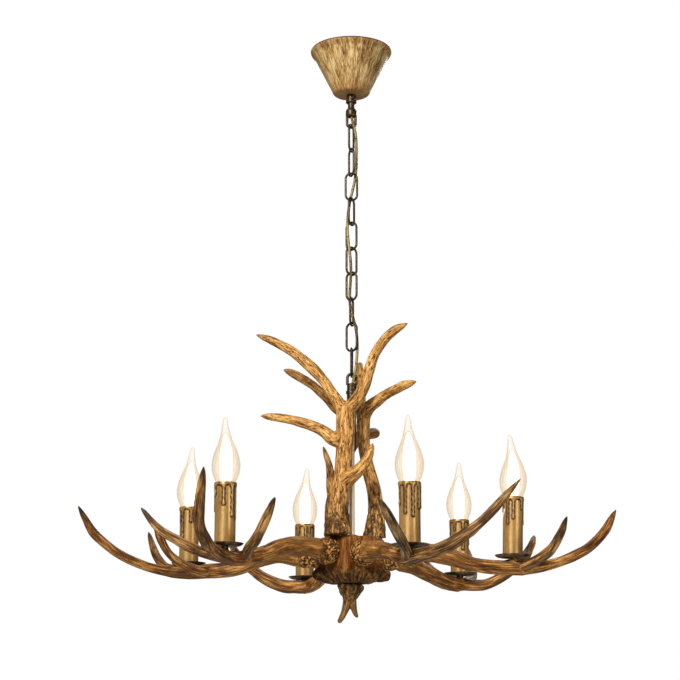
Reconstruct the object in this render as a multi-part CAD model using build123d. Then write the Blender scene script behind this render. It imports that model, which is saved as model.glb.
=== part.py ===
from build123d import *
import math
import os

# Antler chandelier with six candle lights on a chain.
# Millimetres, +Z up. The origin is on the ceiling plane, at the middle of the
# mounting strap's top face. The lamp hangs down along -Z. The front is -Y.

# ---------------------------------------------------------------- dimensions
# ceiling end
CANOPY_RIM_R = 63.4          # 127 mm canopy
CANOPY_DEPTH = 73.0
CANOPY_WALL = 1.4
STRAP_LENGTH = 104.0
STRAP_WIDTH = 20.0
STRAP_THICK = 2.0
STRAP_HOLE_SPACING = 88.9    # junction box screws
STRAP_HOLE_R = 2.3
NIPPLE_R = 5.0               # M10 hollow thread
NIPPLE_BORE_R = 3.5

# chain
LINK_COUNT = 10
LINK_WIRE_R = 1.75
LINK_LENGTH = 46.95          # outside
LINK_WIDTH = 21.0            # outside
LINK_PITCH = 39.6
LINK_TOP_Z = -120.0          # top of the first link
LINK_TURN = [66, -66, 0, 62, -30, 30, -30, 75, -30, 85]   # plane of each link about Z
LOOP_WIRE_R = 2.2
LOOP_HALF = 6.45             # loop centre line to its bars
CABLE_R = 2.2

# stem and hub
STEM_R = 4.0
STEM_BORE_R = 2.8
HUB_TOP_Z = -764.5
HUB_FLAT = 44.0              # centre to each of the six flats that carry an arm
HUB_FIRST_FLAT = -13.0       # azimuth of the right arm
HUB_BOTTOM_Z = -830.5
FOOT_AT = 49.0               # centre of each swelling under the hub's panels
FOOT_R = 11.0
FOOT_Z = -817.5

# candles
SEAT_Z = -798.2              # underside of a drip pan, before its own offset
FLOOR_Z = SEAT_Z + 1.2
PAN_RIM_R = 25.75
POST_R = 5.8                 # post on the arm that carries a pan
CANDLE_NIPPLE_R = 4.0        # M8 hollow thread
CANDLE_NIPPLE_BORE_R = 2.2
SLEEVE_R = 15.25
SLEEVE_BORE_R = 13.75
SLEEVE_TOP_Z = -711.0
CAP_R = 6.9                  # E14
HOLDER_BORE_R = 7.25
BULB_MAX_R = 19.6
BULB_TIP_Z = -619.0

TUBE_SIDES = 12              # facets round an antler

ARM_AZIMUTH = {"right": -13.0, "rear_right": 47.0, "rear_left": 107.0,
               "left": 167.0, "front_left": 227.0, "front_right": 287.0}

# Candle centres and their height offsets: (x, y, dz).
CANDLES = {"right": (230.2, -55.0, -0.4), "rear_right": (170.3, 179.8, -3.8),
           "rear_left": (-74.1, 234.8, -4.4), "left": (-244.2, 55.3, -0.4),
           "front_left": (-174.7, -182.9, 2.0), "front_right": (75.8, -235.5, -5.0)}

# Corners of the cable's route down through the links.
CABLE_ROUTE = [
    (0, 0, -2), (0, 0, -105.5), (0.64, -1.23, -111), (1.72, -3, -116.5),
    (3.04, -4.6, -122), (5.26, -5.81, -131), (6.79, -5.68, -140.6), (7.59, -4.68, -150.2),
    (7.95, -3.21, -159.8), (8.08, -1.5, -169.4), (8.06, 0.34, -179), (7.78, 2.16, -188.6),
    (7.05, 3.83, -198.2), (5.71, 5.17, -207.8), (3.88, 6.12, -217.4), (1.64, 6.67, -227),
    (-0.76, 6.63, -236.6), (-2.7, 5.7, -246.2), (-4.03, 3.86, -255.8), (-5.05, 1.66, -265.4),
    (-5.83, -0.52, -275), (-6.19, -2.32, -284.6), (-5.95, -3.79, -294.2), (-5.46, -5.1, -303.8),
    (-4.67, -6.35, -313.4), (-3.52, -7.36, -323), (-2.43, -7.99, -332.6), (-1.6, -8.22, -342.2),
    (-1.05, -7.8, -351.8), (-0.87, -6.29, -361.4), (-1.33, -3.07, -371), (-2.11, 1.07, -380.6),
    (-2.78, 4.89, -390.2), (-2.95, 7.06, -399.8), (-2.24, 6.57, -409.4), (-0.46, 4.83, -419),
    (2.07, 3.38, -428.6), (4.63, 2.42, -438.2), (6.58, 1.92, -447.8), (7.8, 1.67, -457.4),
    (8.37, 1.36, -467), (8.52, 0.64, -476.6), (8.23, -0.82, -486.2), (7.62, -2.76, -495.8),
    (6.71, -4.49, -505.4), (5.11, -5.33, -516.5), (3.68, -4.41, -523), (1.88, -2.45, -529.5),
    (0.56, -0.8, -536), (0, 0, -543), (0, 0, -562),
]

# Centre lines of the six arm antlers: (x, y, z, radius) from the burr outwards.
ARMS = {
    "right": {
        "beam": [(42.9, -9.9, -794.3, 18.5), (55.6, -12.4, -794.7, 17), (76.1, -17.5, -788.9, 14.3),
                (107.3, -24.7, -788, 14.3), (140.4, -32.6, -794.7, 12.4), (174.4, -39.5, -806.3, 10.2),
                (211.7, -46.9, -811.7, 10.8), (242.1, -53.8, -814, 10.3)],
        "end_tine": [(242.1, -53.8, -814, 10.3), (270.1, -54.9, -811.1, 8.7), (296.8, -50.9, -804.1, 7.3),
                    (321.8, -42.7, -793.6, 7.5), (342.5, -32, -781.5, 7.4), (359.3, -21.4, -766.9, 7.3),
                    (372.3, -11.3, -752.2, 7), (380.3, -1.7, -739.1, 5.8), (386.1, 5.9, -729.2, 4.1),
                    (391.4, 12.4, -720.9, 1.2)],
        "side_tine": [(242.1, -53.8, -814, 9), (254.5, -66.1, -808, 8.2), (266.3, -78.8, -801.7, 7.6),
                     (276.5, -92.7, -795.1, 7.8), (284, -105.4, -786, 6.9), (289.1, -116.9, -776.5, 6.3),
                     (292.8, -127.6, -767.9, 5.6), (294.7, -136.5, -760.7, 4.4), (296.2, -143.5, -755.2, 3),
                     (297.5, -149.4, -750.5, 0.9)],
        "back_tine": [(211.7, -46.9, -811.7, 9), (224.9, -35.1, -807, 8.2), (237.7, -23.1, -802, 7.7),
                     (247.8, -9.5, -795.1, 7.8), (256.3, 2.9, -787.4, 6.9), (262.1, 14, -778.1, 5.7), (267, 24.3, -769.9, 5.4),
                     (269.7, 33.3, -763.5, 4.3), (271.8, 40.4, -758.6, 3.1), (273.7, 46.4, -754.5, 0.9)],
    },
    "rear_right": {
        "beam": [(30, 32.2, -788.6, 18.5), (37.5, 40.2, -789, 17), (53.2, 57, -786, 14.3), (73.5, 80.4, -789.9, 14.3),
                (96.8, 106, -795.7, 12.4), (121.1, 132.3, -804.9, 11.8), (146, 160.1, -813.6, 11.7),
                (167.5, 182.7, -816, 11.2)],
        "end_tine": [(167.5, 182.7, -816, 10.3), (182.9, 207, -811.4, 9.7), (191.3, 233.5, -802.9, 8.5),
                    (195.2, 260.3, -792.5, 8.5), (196.7, 284.3, -780.1, 7.7), (194.4, 303.8, -764.9, 6.9),
                    (191.6, 321, -750, 6.1), (188.2, 333.3, -736.3, 4.8), (185.5, 342.9, -725.6, 3.5),
                    (183.2, 351.1, -716.5, 1.1)],
        "side_tine": [(167.5, 182.7, -816, 9), (188.2, 188.7, -816, 9.1), (210, 193.5, -814.8, 8.5), (230, 196.4, -806.4, 8.3),
                     (247.8, 196.7, -795.5, 7.9), (263.3, 196.5, -784.7, 7.3), (274.4, 195.4, -770.1, 6.1),
                     (281.9, 194.3, -758.1, 5), (287.1, 193.4, -748.3, 3.8), (291.8, 192.7, -740, 1.3)],
        "back_tine": [(146, 160.1, -813.6, 9), (140.9, 177.8, -806.5, 8.1), (135.7, 195.3, -800.5, 7.5),
                     (130.4, 212.5, -793.8, 7.7), (124.7, 227.2, -785.5, 7), (118.8, 239.7, -776.5, 6.5),
                     (113.3, 250.2, -767.3, 5.8), (108.5, 257.9, -758.8, 4.6), (104.9, 263.8, -752.2, 3.4),
                     (101.7, 268.9, -746.5, 1.1)],
    },
    "rear_left": {
        "beam": [(-12.9, 42.1, -788.6, 18.5), (-16.1, 52.6, -789, 17), (-22.8, 74.6, -786, 14.3),
                (-32.2, 105.2, -784.5, 14.3), (-42.4, 138.7, -789.8, 12.4), (-49, 171.8, -807.4, 10.7),
                (-62.9, 206.9, -814.5, 10.8), (-74.4, 236.6, -815, 10.7)],
        "end_tine": [(-74.4, 236.6, -815, 10.3), (-87.5, 261.4, -812.1, 10.3), (-105.6, 282.7, -810, 10.5),
                    (-126.9, 300.3, -802.2, 10.4), (-147.3, 312.5, -790.6, 9.4), (-165.4, 320.9, -775.6, 8.4),
                    (-181.5, 327.2, -761.6, 7.8), (-191.9, 332, -746.8, 6.5), (-197.8, 335.6, -734.4, 4.5),
                    (-202.8, 338.7, -723.8, 1.3)],
        "side_tine": [(-74.4, 236.6, -815, 9), (-70.2, 255.2, -809.3, 8.2), (-65.2, 273.4, -803.7, 7.6),
                     (-58.5, 290.5, -796.5, 7.7), (-51.5, 304.4, -787.2, 6.9), (-44.5, 316, -777.1, 6.5),
                     (-38, 325.4, -766.8, 5.6), (-32.7, 332.2, -757.5, 4.5), (-28.5, 337.5, -750.3, 3.4),
                     (-25, 342.1, -744.1, 1.1)],
        "back_tine": [(-62.9, 206.9, -814.5, 9), (-82.7, 210.6, -815.6, 8.9), (-103.2, 214.4, -816.2, 9.2),
                     (-122.2, 218.4, -809.3, 9), (-139.5, 221.3, -800.8, 8.3), (-154, 222.5, -791.5, 7.8),
                     (-167.7, 223.3, -780.5, 7.2), (-174.8, 223, -769.3, 5.7), (-180.2, 222.7, -760.8, 4.1),
                     (-184.8, 222.5, -753.5, 1.3)],
    },
    "left": {
        "beam": [(-42.9, 9.9, -788.6, 18.5), (-53.6, 12.4, -789, 17), (-77.2, 17.5, -791.1, 14), (-107.3, 24.7, -785, 13.2),
                (-139.9, 32.6, -793, 12.1), (-175.2, 39.5, -805, 11), (-212.1, 46.9, -807.7, 10.8),
                (-241.7, 53.8, -809.1, 10.3)],
        "end_tine": [(-241.7, 53.8, -809.1, 10.3), (-271, 55, -807.1, 8.9), (-299.4, 50.3, -802.6, 7.2),
                    (-325.6, 41.3, -793.4, 7.4), (-348.1, 30.4, -782.6, 7.3), (-366.3, 19.5, -769.1, 7.3),
                    (-381.2, 9.4, -755.2, 7.2), (-390.3, 0.5, -740.6, 5.7), (-396.5, -6.5, -728.8, 4.1),
                    (-402.1, -12.4, -718.2, 1.3)],
        "side_tine": [(-241.7, 53.8, -809.1, 9), (-257.9, 65.9, -805, 8.2), (-274, 79.1, -801.2, 7.6),
                     (-285.2, 96.3, -795.5, 7.6), (-293.9, 110.2, -785.6, 6.8), (-301.2, 122.7, -774.2, 6.3),
                     (-306.5, 131.8, -762.1, 5.3), (-310.4, 139, -751.7, 4.3), (-313.4, 144.6, -743.6, 3.2),
                     (-316.1, 149.4, -736.7, 1.1)],
        "back_tine": [(-212.1, 46.9, -807.7, 9), (-227, 33.1, -808.4, 8.1), (-240.9, 19.3, -805.4, 7.5),
                     (-254.3, 5.8, -798.2, 6.9), (-265.8, -7, -789.4, 5.9), (-273.3, -18.8, -779, 6.2),
                     (-278.7, -28.4, -767, 6.4), (-282.4, -35.8, -756.8, 5.1), (-285.6, -41.5, -749, 3.8),
                     (-288.7, -46.4, -742.5, 1.3)],
    },
    "front_left": {
        "beam": [(-30, -32.2, -786.8, 18.5), (-43.6, -40.2, -787.2, 17), (-53.4, -57, -784.2, 14.3),
                (-75, -80.4, -784.3, 14.3), (-99, -106, -787.9, 12.4), (-122.2, -132.3, -800.4, 11),
                (-146.5, -160.1, -809.8, 10.8), (-167.7, -182.7, -812.7, 10.3)],
        "end_tine": [(-167.7, -182.7, -812.7, 10.3), (-182.6, -207.7, -808.1, 9.1), (-191.9, -234.6, -801.5, 8.5),
                    (-197.8, -261.5, -791.5, 8.5), (-201.7, -285.5, -779, 7.8), (-200.6, -304.8, -762.9, 7.5),
                    (-198.5, -321.8, -747.7, 6.9), (-195.7, -333.8, -733.5, 5.5), (-193.7, -343.1, -722.5, 4),
                    (-191.9, -351.1, -713.1, 1.3)],
        "side_tine": [(-167.7, -182.7, -812.7, 9), (-187, -188.6, -809.4, 8.1), (-206.1, -193.4, -804.6, 7.5),
                     (-224.8, -196.2, -797, 7.6), (-241.3, -196.7, -787.7, 6.8), (-256.6, -196.5, -779.3, 6.4),
                     (-269, -195.5, -768.9, 5.4), (-277.5, -194.3, -759.1, 4.3), (-283.8, -193.5, -751.1, 3.4),
                     (-289.3, -192.7, -744.5, 1.2)],
        "back_tine": [(-146.5, -160.1, -809.8, 9), (-143.4, -178.5, -803.7, 8.1), (-138.8, -196.6, -797.7, 7.5),
                     (-131.9, -214.2, -791.9, 7.5), (-125.7, -228.9, -783.3, 6.9), (-120, -241.8, -774, 6.9),
                     (-114.4, -251.5, -763.7, 6.4), (-109.9, -258.6, -754.3, 5.2), (-106.6, -264.2, -747, 3.9),
                     (-103.4, -268.9, -740.9, 1.3)],
    },
    "front_right": {
        "beam": [(12.9, -42.1, -790.7, 18.5), (16.6, -52.6, -791.1, 17), (24.2, -74.6, -791.5, 14.3),
                (31.6, -105.2, -792.8, 14.3), (41.9, -138.7, -797.1, 12.4), (53.4, -171.8, -802.5, 11),
                (64.7, -206.9, -811.6, 10.8), (73.4, -236.6, -818.1, 10.3)],
        "end_tine": [(73.4, -236.6, -818.1, 10.3), (88.2, -261, -815.6, 9.2), (106.5, -282.4, -813.1, 8.6),
                    (127.3, -300.1, -805.6, 8.4), (148, -311.9, -791.9, 7.3), (166.1, -320.6, -778.1, 6.2),
                    (182.1, -327.3, -762.4, 6.3), (194.4, -332.2, -748.7, 5.5), (204.7, -335.7, -737.4, 4),
                    (214, -338.7, -727, 1.2)],
        "side_tine": [(73.4, -236.6, -818.1, 9), (70.2, -253.9, -811.3, 8.2), (66.6, -271, -804.4, 7.6),
                     (61, -287.5, -797.1, 7.7), (55.2, -301.4, -788.6, 7.1), (49, -312.6, -778.7, 6.7),
                     (43.3, -322.7, -769.5, 6.2), (38.3, -330.6, -761.8, 4.9), (34.4, -336.8, -755.9, 3.5),
                     (31, -342.1, -750.8, 1.1)],
        "back_tine": [(64.7, -206.9, -811.6, 9), (82.3, -210.6, -810.6, 8.2), (99.8, -214.4, -808.6, 7.6),
                     (116.4, -218, -802.6, 7.8), (131.7, -221, -796.6, 7.3), (144.9, -222.1, -788.6, 6.9),
                     (157, -223.1, -781.2, 6.8), (166.1, -223.1, -774.2, 5.7), (173, -222.8, -768.3, 3.9),
                     (178.8, -222.5, -763.2, 1.1)],
    },
}

# Centre lines of the three upright antlers, from the burr upwards.
UPRIGHTS = {
    "front": {
        "trunk": [(-21.2, -42, -765.7, 19.5), (-20.5, -42, -748.3, 17), (-19.5, -41, -723.4, 15), (-15.4, -38, -683.5, 12.5),
                 (-11.6, -36, -643.3, 12.3), (-9.7, -34, -608.7, 13.9), (-9.5, -33, -581.6, 14)],
        "left_tine": [(-9.8, -33, -581.6, 12), (-24.9, -32, -560.4, 8.7), (-38.7, -30.1, -538.2, 7.8),
                     (-55.2, -28.3, -518.1, 8.8), (-72.7, -26.5, -501.5, 8.5), (-90, -24.4, -487.4, 7.8),
                     (-107.2, -21.9, -477, 7), (-121.8, -19.7, -469.5, 6.2), (-133.4, -17.7, -464.6, 4.4),
                     (-143.4, -16, -460.4, 1.3)],
        "right_tine": [(-8.7, -33, -580.1, 12), (7.1, -35.5, -563.1, 10.2), (18.4, -40, -543.5, 9.3), (25.2, -45.7, -522, 8.4),
                      (32.1, -51.5, -502.2, 7.6), (41.9, -56.6, -486, 7.5), (52.5, -61.3, -473.5, 7.1),
                      (63.6, -65.5, -464.8, 6.5), (73.3, -68.5, -460, 4.6), (82.1, -71, -456.1, 1.2)],
        "mid_tine": [(-10.3, -34, -623.7, 12), (-27.1, -34, -621.9, 10.4), (-42.4, -33.3, -610.1, 8.6),
                    (-59.7, -31.8, -601.7, 7.9), (-76.4, -30.6, -596.2, 7.3), (-92.1, -29.1, -592.1, 6.7),
                    (-106.4, -27.5, -589.3, 6.4), (-117.9, -26.1, -587.7, 5.7), (-127, -25, -586.6, 4.4),
                    (-134.8, -24, -585.8, 1.4)],
        "brow_tine": [(-16.1, -38, -689.4, 13), (-7.5, -41, -683.3, 12), (1, -43.3, -676.8, 10.6), (9.2, -45.1, -669.9, 9.3),
                     (16.2, -45.8, -662.4, 8.1), (21.4, -46, -654.7, 7.2), (25.6, -46, -647.2, 6.4), (27.6, -45.6, -640.5, 5.2),
                     (29.1, -45.3, -635.2, 3.9), (30.4, -45, -630.7, 1.3)],
    },
    "right": {
        "trunk": [(33.4, 14, -763.6, 17.5), (34.9, 13, -741.5, 14.5), (35.6, 12, -716.4, 11.5), (32.9, 11, -691.1, 10.6),
                 (25, 9, -660, 9.6), (18.4, 6, -627.3, 9.8), (17.2, 2, -597.8, 10.4), (18.3, 0, -581.5, 10)],
        "left_tine": [(18.3, 0, -581.5, 10), (26.3, -7, -569.1, 9.2), (37.8, -17.5, -562.2, 8.6), (47.2, -29.2, -557, 7.5),
                     (56.7, -40.5, -553.1, 7.1), (66.2, -50.7, -550.1, 7.1), (74.8, -60, -547.6, 6.8),
                     (82.3, -67.4, -546.4, 5.6), (88.2, -73.1, -545.6, 3.9), (93.2, -78, -544.9, 1.3)],
        "right_tine": [(17.5, 2, -597.8, 9), (15.7, 14.1, -582.3, 8.3), (14.4, 26.5, -567.1, 7.8), (13.7, 39.3, -552.1, 7.8),
                      (13.7, 50.6, -537.8, 7.2), (13.9, 60.9, -524.4, 6.9), (13.8, 70, -511.9, 6.6), (13.8, 77.4, -501, 6.1),
                      (13.8, 83.1, -491.5, 5.6), (13.8, 87.5, -483, 4.4)],
        "brow_tine": [(32.5, 11, -691.1, 9.1), (29.6, 16, -682.6, 9), (26.5, 21.1, -673.9, 8), (24, 26.5, -665.4, 7.5),
                     (21.5, 30.7, -657.9, 6.5), (19.6, 33.8, -649.9, 5.9), (18, 36.4, -642.9, 5.3), (17.3, 37.9, -636.5, 4.4),
                     (16.7, 39, -631.6, 3.4), (16.2, 40, -627.3, 1.2)],
    },
    "rear": {
        "trunk": [(-25.1, 36, -764, 15), (-28.1, 35, -738.8, 13), (-29, 34, -713.4, 11.4), (-24, 33, -688, 10.5),
                 (-13, 30, -658.2, 10.3), (-4.5, 26, -625.5, 10.6), (-3, 23, -595.7, 10.6), (-4.5, 21, -576.2, 10)],
        "right_tine": [(-4.5, 21, -576.2, 9.4), (-22, 15.6, -567.3, 8.2), (-35.5, 8.3, -554.6, 6.8), (-46.9, 1.8, -544.5, 6.7),
                      (-58.1, -4.2, -535.6, 6.5), (-69.2, -9.7, -529.3, 6.7), (-79.7, -14.8, -524.1, 6.6),
                      (-88.3, -19.1, -520.3, 6.3), (-95.3, -22.3, -518, 4.6), (-101.3, -25, -516.1, 1.4)],
        "left_tine": [(-3.8, 22, -583.7, 10.2), (-3.2, 31.5, -577, 9.8), (-1.8, 41, -567.5, 8.8), (0.4, 50.9, -557.9, 7.8),
                     (4.4, 61.2, -551.3, 7), (7.9, 70.9, -545.3, 6.6), (10.8, 80.2, -540.2, 6.1), (12.9, 87.7, -535.9, 5.6),
                     (14, 93.2, -531.8, 4.1), (15, 98, -528.3, 1.3)],
        "mid_tine": [(-4.4, 26, -625.5, 10.8), (-2.5, 36.1, -620, 11), (1, 46.3, -613.5, 10.8), (7, 57.5, -607, 10),
                    (13, 68, -601.3, 9.2), (19.8, 78.5, -596.8, 7.9), (27, 88.1, -593.4, 8), (33.2, 96.1, -591, 8.2),
                    (37.6, 102.5, -589.4, 7.8), (41, 108, -588.4, 4.2)],
        "brow_tine": [(-27.6, 33.4, -694, 10.2), (-29.8, 31, -682, 8.9), (-31.2, 28.8, -671, 7.4), (-32.3, 26.1, -662, 6.3),
                     (-33.4, 24.1, -654.8, 5.8), (-34.9, 22.2, -648, 5.1), (-36.9, 20.7, -642, 4.6), (-38.9, 19.2, -636.6, 4.1),
                     (-40.4, 17.9, -632.2, 3.3), (-41.4, 16.9, -628.7, 2.5), (-42.6, 16, -625, 0.9)],
    },
}

# ------------------------------------------------------------------- helpers
os.makedirs("parts", exist_ok=True)


def save(name, shape):
    shape.label = name
    export_step(shape, "parts/" + name + ".step")


def turned(points):
    """Solid of revolution about Z from (radius, z) corners."""
    face = Face(Wire.make_polygon([(r, 0, z) for r, z in points], close=True))
    return Solid.revolve(face, 360, Axis.Z)


def rod(x, y, z0, z1, r):
    return Pos(x, y, z0) * extrude(Circle(r), z1 - z0)


def ring_rod(x, y, z0, z1, r_out, r_in):
    return Pos(x, y, z0) * extrude(Circle(r_out) - Circle(r_in), z1 - z0)


def refine(points):
    """One extra point between each pair, on a Catmull-Rom curve."""
    p = [tuple(float(c) for c in q) for q in points]
    first = tuple(2 * a - b for a, b in zip(p[0], p[1]))
    last = tuple(2 * a - b for a, b in zip(p[-1], p[-2]))
    q = [first] + p + [last]
    out = []
    for i in range(1, len(q) - 2):
        out.append(q[i])
        out.append(tuple((-a + 9 * b + 9 * c - d) / 16
                         for a, b, c, d in zip(q[i - 1], q[i], q[i + 1], q[i + 2])))
    out.append(p[-1])
    return out


def antler_tube(points, sides=TUBE_SIDES):
    """Tapered tube of flat facets along (x, y, z, radius) points, closed at both ends."""
    pts = refine(points)
    centre = [Vector(*p[:3]) for p in pts]
    n = len(pts)
    tangent = []
    for i in range(n):
        a = centre[max(i - 1, 0)]
        b = centre[min(i + 1, n - 1)]
        tangent.append((b - a).normalized())
    side = Vector(0.31, 0.17, 0.93).cross(tangent[0]).normalized()
    rings = []
    for i in range(n):
        t = tangent[i]
        side = (side - t * side.dot(t)).normalized()
        up = t.cross(side)
        r = pts[i][3]
        rings.append([centre[i] + side * (r * math.cos(2 * math.pi * k / sides))
                      + up * (r * math.sin(2 * math.pi * k / sides)) for k in range(sides)])
    tip = centre[-1] + tangent[-1] * (pts[-1][3] * 0.9)
    faces = []

    def tri(a, b, c):
        faces.append(Face(Wire.make_polygon([a, b, c], close=True)))

    for i in range(n - 1):
        for k in range(sides):
            m = (k + 1) % sides
            a, b, c, d = rings[i][k], rings[i][m], rings[i + 1][m], rings[i + 1][k]
            tri(a, b, c)
            tri(a, c, d)
    for k in range(sides):
        m = (k + 1) % sides
        tri(rings[-1][k], rings[-1][m], tip)
        tri(rings[0][m], rings[0][k], centre[0])
    solid = Solid(Shell(faces))
    return solid


def fuse_all(solids):
    body = solids[0]
    for s in solids[1:]:
        body = body + s
    found = body.solids()
    return max(found, key=lambda s: s.volume)


def around(azimuth, radius):
    a = math.radians(azimuth)
    return radius * math.cos(a), radius * math.sin(a)


# ------------------------------------------------------------- ceiling pieces
strap = Pos(0, 0, -STRAP_THICK / 2) * Box(STRAP_LENGTH, STRAP_WIDTH, STRAP_THICK)
strap = strap - rod(-STRAP_HOLE_SPACING / 2, 0, -5, 5, STRAP_HOLE_R)
strap = strap - rod(STRAP_HOLE_SPACING / 2, 0, -5, 5, STRAP_HOLE_R)
strap = strap - rod(0, 0, -5, 5, NIPPLE_R)
strap = strap - rod(24, 0, -5, 5, 2.0)
save("mounting_strap", strap)

nipple = ring_rod(0, 0, -86.0, -0.4, NIPPLE_R, NIPPLE_BORE_R)
save("canopy_nipple", nipple)

lock_nut = Pos(0, 0, -6.0) * extrude(RegularPolygon(8.5, 6), 4.0)
lock_nut = lock_nut - rod(0, 0, -7, 0, NIPPLE_R)
save("nipple_lock_nut", lock_nut)

ground_screw = rod(24, 0, -2.0, -0.2, 2.0) + rod(24, 0, -4.6, -2.0, 4.0)
ground_screw = ground_screw - Pos(24, 0, -4.6) * Box(10.0, 1.0, 2.0)
save("ground_screw", ground_screw)

# three-way terminal block that joins the house wires to the lamp's cable
block = Pos(-25, 0, -8.5) * Box(16, 26, 13)
for y in (-8.5, 0, 8.5):
    block = block - Pos(-25, y, -8.5) * Rot(0, 90, 0) * Cylinder(2.0, 20)
    block = block - rod(-25, y, -16.0, -8.5, 1.6)
save("terminal_block", block)

rim = CANOPY_RIM_R
outer = [(rim, 0.0), (rim, -3.4), (61.6, -6.4), (58.0, -9.2), (56.4, -12.0),
         (29.6, -66.5), (27.4, -70.6), (24.0, -CANOPY_DEPTH)]
inner = [(rim - CANOPY_WALL, 0.0), (rim - CANOPY_WALL, -2.9), (60.4, -5.2), (56.8, -8.0), (54.9, -11.6),
         (28.2, -65.9), (26.2, -69.6), (23.6, -CANOPY_DEPTH + CANOPY_WALL)]
canopy = turned(outer + [(NIPPLE_R, -CANOPY_DEPTH), (NIPPLE_R, -CANOPY_DEPTH + CANOPY_WALL)] + inner[::-1])
save("ceiling_canopy", canopy)

# collar nut under the canopy, threaded on the nipple
collar = turned([(NIPPLE_R, -73.0), (7.0, -73.0), (7.4, -76.0), (7.2, -80.5), (8.4, -82.0), (8.4, -85.2),
                 (7.4, -86.5), (NIPPLE_R, -86.5)])
save("canopy_collar", collar)


def hanger_loop(z_far, z_near, sign):
    """U-shaped loop in the XZ plane: bars from z_near, round end with its wire centre at z_far."""
    zc = z_far - sign * LOOP_HALF
    path = Polyline((-LOOP_HALF, 0, z_near), (-LOOP_HALF, 0, zc)) + \
        ThreePointArc((-LOOP_HALF, 0, zc), (0, 0, z_far), (LOOP_HALF, 0, zc)) + \
        Line((LOOP_HALF, 0, zc), (LOOP_HALF, 0, z_near))
    profile = Plane(origin=(-LOOP_HALF, 0, z_near), z_dir=(0, 0, sign)) * Circle(LOOP_WIRE_R)
    return sweep(profile, path=path)


BORE_R = CABLE_R + 0.4
UPPER_LOOP_Z = LINK_TOP_Z - LINK_WIRE_R - (LINK_WIRE_R + LOOP_WIRE_R + 0.35)
upper_loop = hanger_loop(UPPER_LOOP_Z, -104.0, -1)
# head, neck and the threaded spigot that goes up inside the nipple
loop_head = turned([(0, -70.0), (NIPPLE_BORE_R, -70.0), (NIPPLE_BORE_R, -86.5), (5.4, -86.5), (5.2, -92.0), (5.6, -96.0),
                    (7.8, -97.2), (8.6, -100.0), (8.6, -106.0), (7.6, -108.6), (0, -108.6)])
upper_loop = loop_head + upper_loop - rod(0, 0, -110, -69, BORE_R) - turned([(0, -102.6), (BORE_R, -102.6), (4.4, -108.6), (4.4, -109.5), (0, -109.5)])
upper_loop = upper_loop.solids()[0]
save("canopy_loop", upper_loop)

# ---------------------------------------------------------------------- chain
LINK_HALF = LINK_WIDTH / 2 - LINK_WIRE_R                 # wire centre to the link's axis
LINK_CENTRE_LENGTH = LINK_LENGTH - 2 * LINK_WIRE_R       # wire centre to wire centre


def chain_link(top_z, turn):
    zt = top_z - LINK_WIRE_R
    zb = zt - LINK_CENTRE_LENGTH
    r = LINK_HALF
    a, b = zt - r, zb + r
    path = Wire([Edge.make_line((r, 0, b), (r, 0, a)),
                 Edge.make_three_point_arc((r, 0, a), (0, 0, zt), (-r, 0, a)),
                 Edge.make_line((-r, 0, a), (-r, 0, b)),
                 Edge.make_three_point_arc((-r, 0, b), (0, 0, zb), (r, 0, b))])
    profile = Plane(origin=(r, 0, b), z_dir=(0, 0, 1)) * Circle(LINK_WIRE_R)
    return Rot(0, 0, turn) * sweep(profile, path=path)


for i in range(LINK_COUNT):
    link = chain_link(LINK_TOP_Z - i * LINK_PITCH, LINK_TURN[i])
    save("chain_link_%02d" % (i + 1), link)

LOWER_LOOP_Z = LINK_TOP_Z - (LINK_COUNT - 1) * LINK_PITCH - LINK_WIRE_R - LINK_CENTRE_LENGTH \
    + (LINK_WIRE_R + LOOP_WIRE_R + 0.35)
lower_loop = hanger_loop(LOWER_LOOP_Z, -534.0, 1)
ferrule = turned([(0, -532.5), (6.2, -532.5), (7.2, -533.6), (7.2, -543.0), (8.6, -544.0),
                  (8.6, -547.5), (7.4, -548.2), (7.4, -562.0), (6.2, -564.0), (0, -564.0)])
lower_loop = ferrule + lower_loop
lower_loop = lower_loop - rod(0, 0, -545, -530, BORE_R) - turned([(0, -541.0), (BORE_R, -541.0), (4.4, -532.5), (4.4, -530.0), (0, -530.0)])
lower_loop = lower_loop - rod(0, 0, -570, -545, STEM_R)
lower_loop = lower_loop.solids()[0]
save("body_loop", lower_loop)

# supply cable, threaded down through the links
CABLE_ARCS = []
for before, here, after in zip(CABLE_ROUTE, CABLE_ROUTE[1:], CABLE_ROUTE[2:]):
    u, v = Vector(*here) - Vector(*before), Vector(*after) - Vector(*here)
    bend = math.radians(u.get_angle(v))
    CABLE_ARCS.append(min(0.47 * min(u.length, v.length) / math.tan(max(bend, 0.004) / 2), 400.0))
cable_path = FilletPolyline(*CABLE_ROUTE, radius=CABLE_ARCS)
d0 = (Vector(*CABLE_ROUTE[1]) - Vector(*CABLE_ROUTE[0])).normalized()
cable = sweep(Plane(origin=CABLE_ROUTE[0], z_dir=d0) * Circle(CABLE_R), path=cable_path)
print("cable length %.1f mm, volume ratio %.3f, tightest arc %.1f mm" % (
    cable_path.length, cable.volume / (math.pi * CABLE_R ** 2 * cable_path.length), min(CABLE_ARCS)))
save("supply_cable", cable)

# ---------------------------------------------------------------- stem and hub
stem = ring_rod(0, 0, -846.0, -545.0, STEM_R, STEM_BORE_R)
save("stem_tube", stem)

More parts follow.
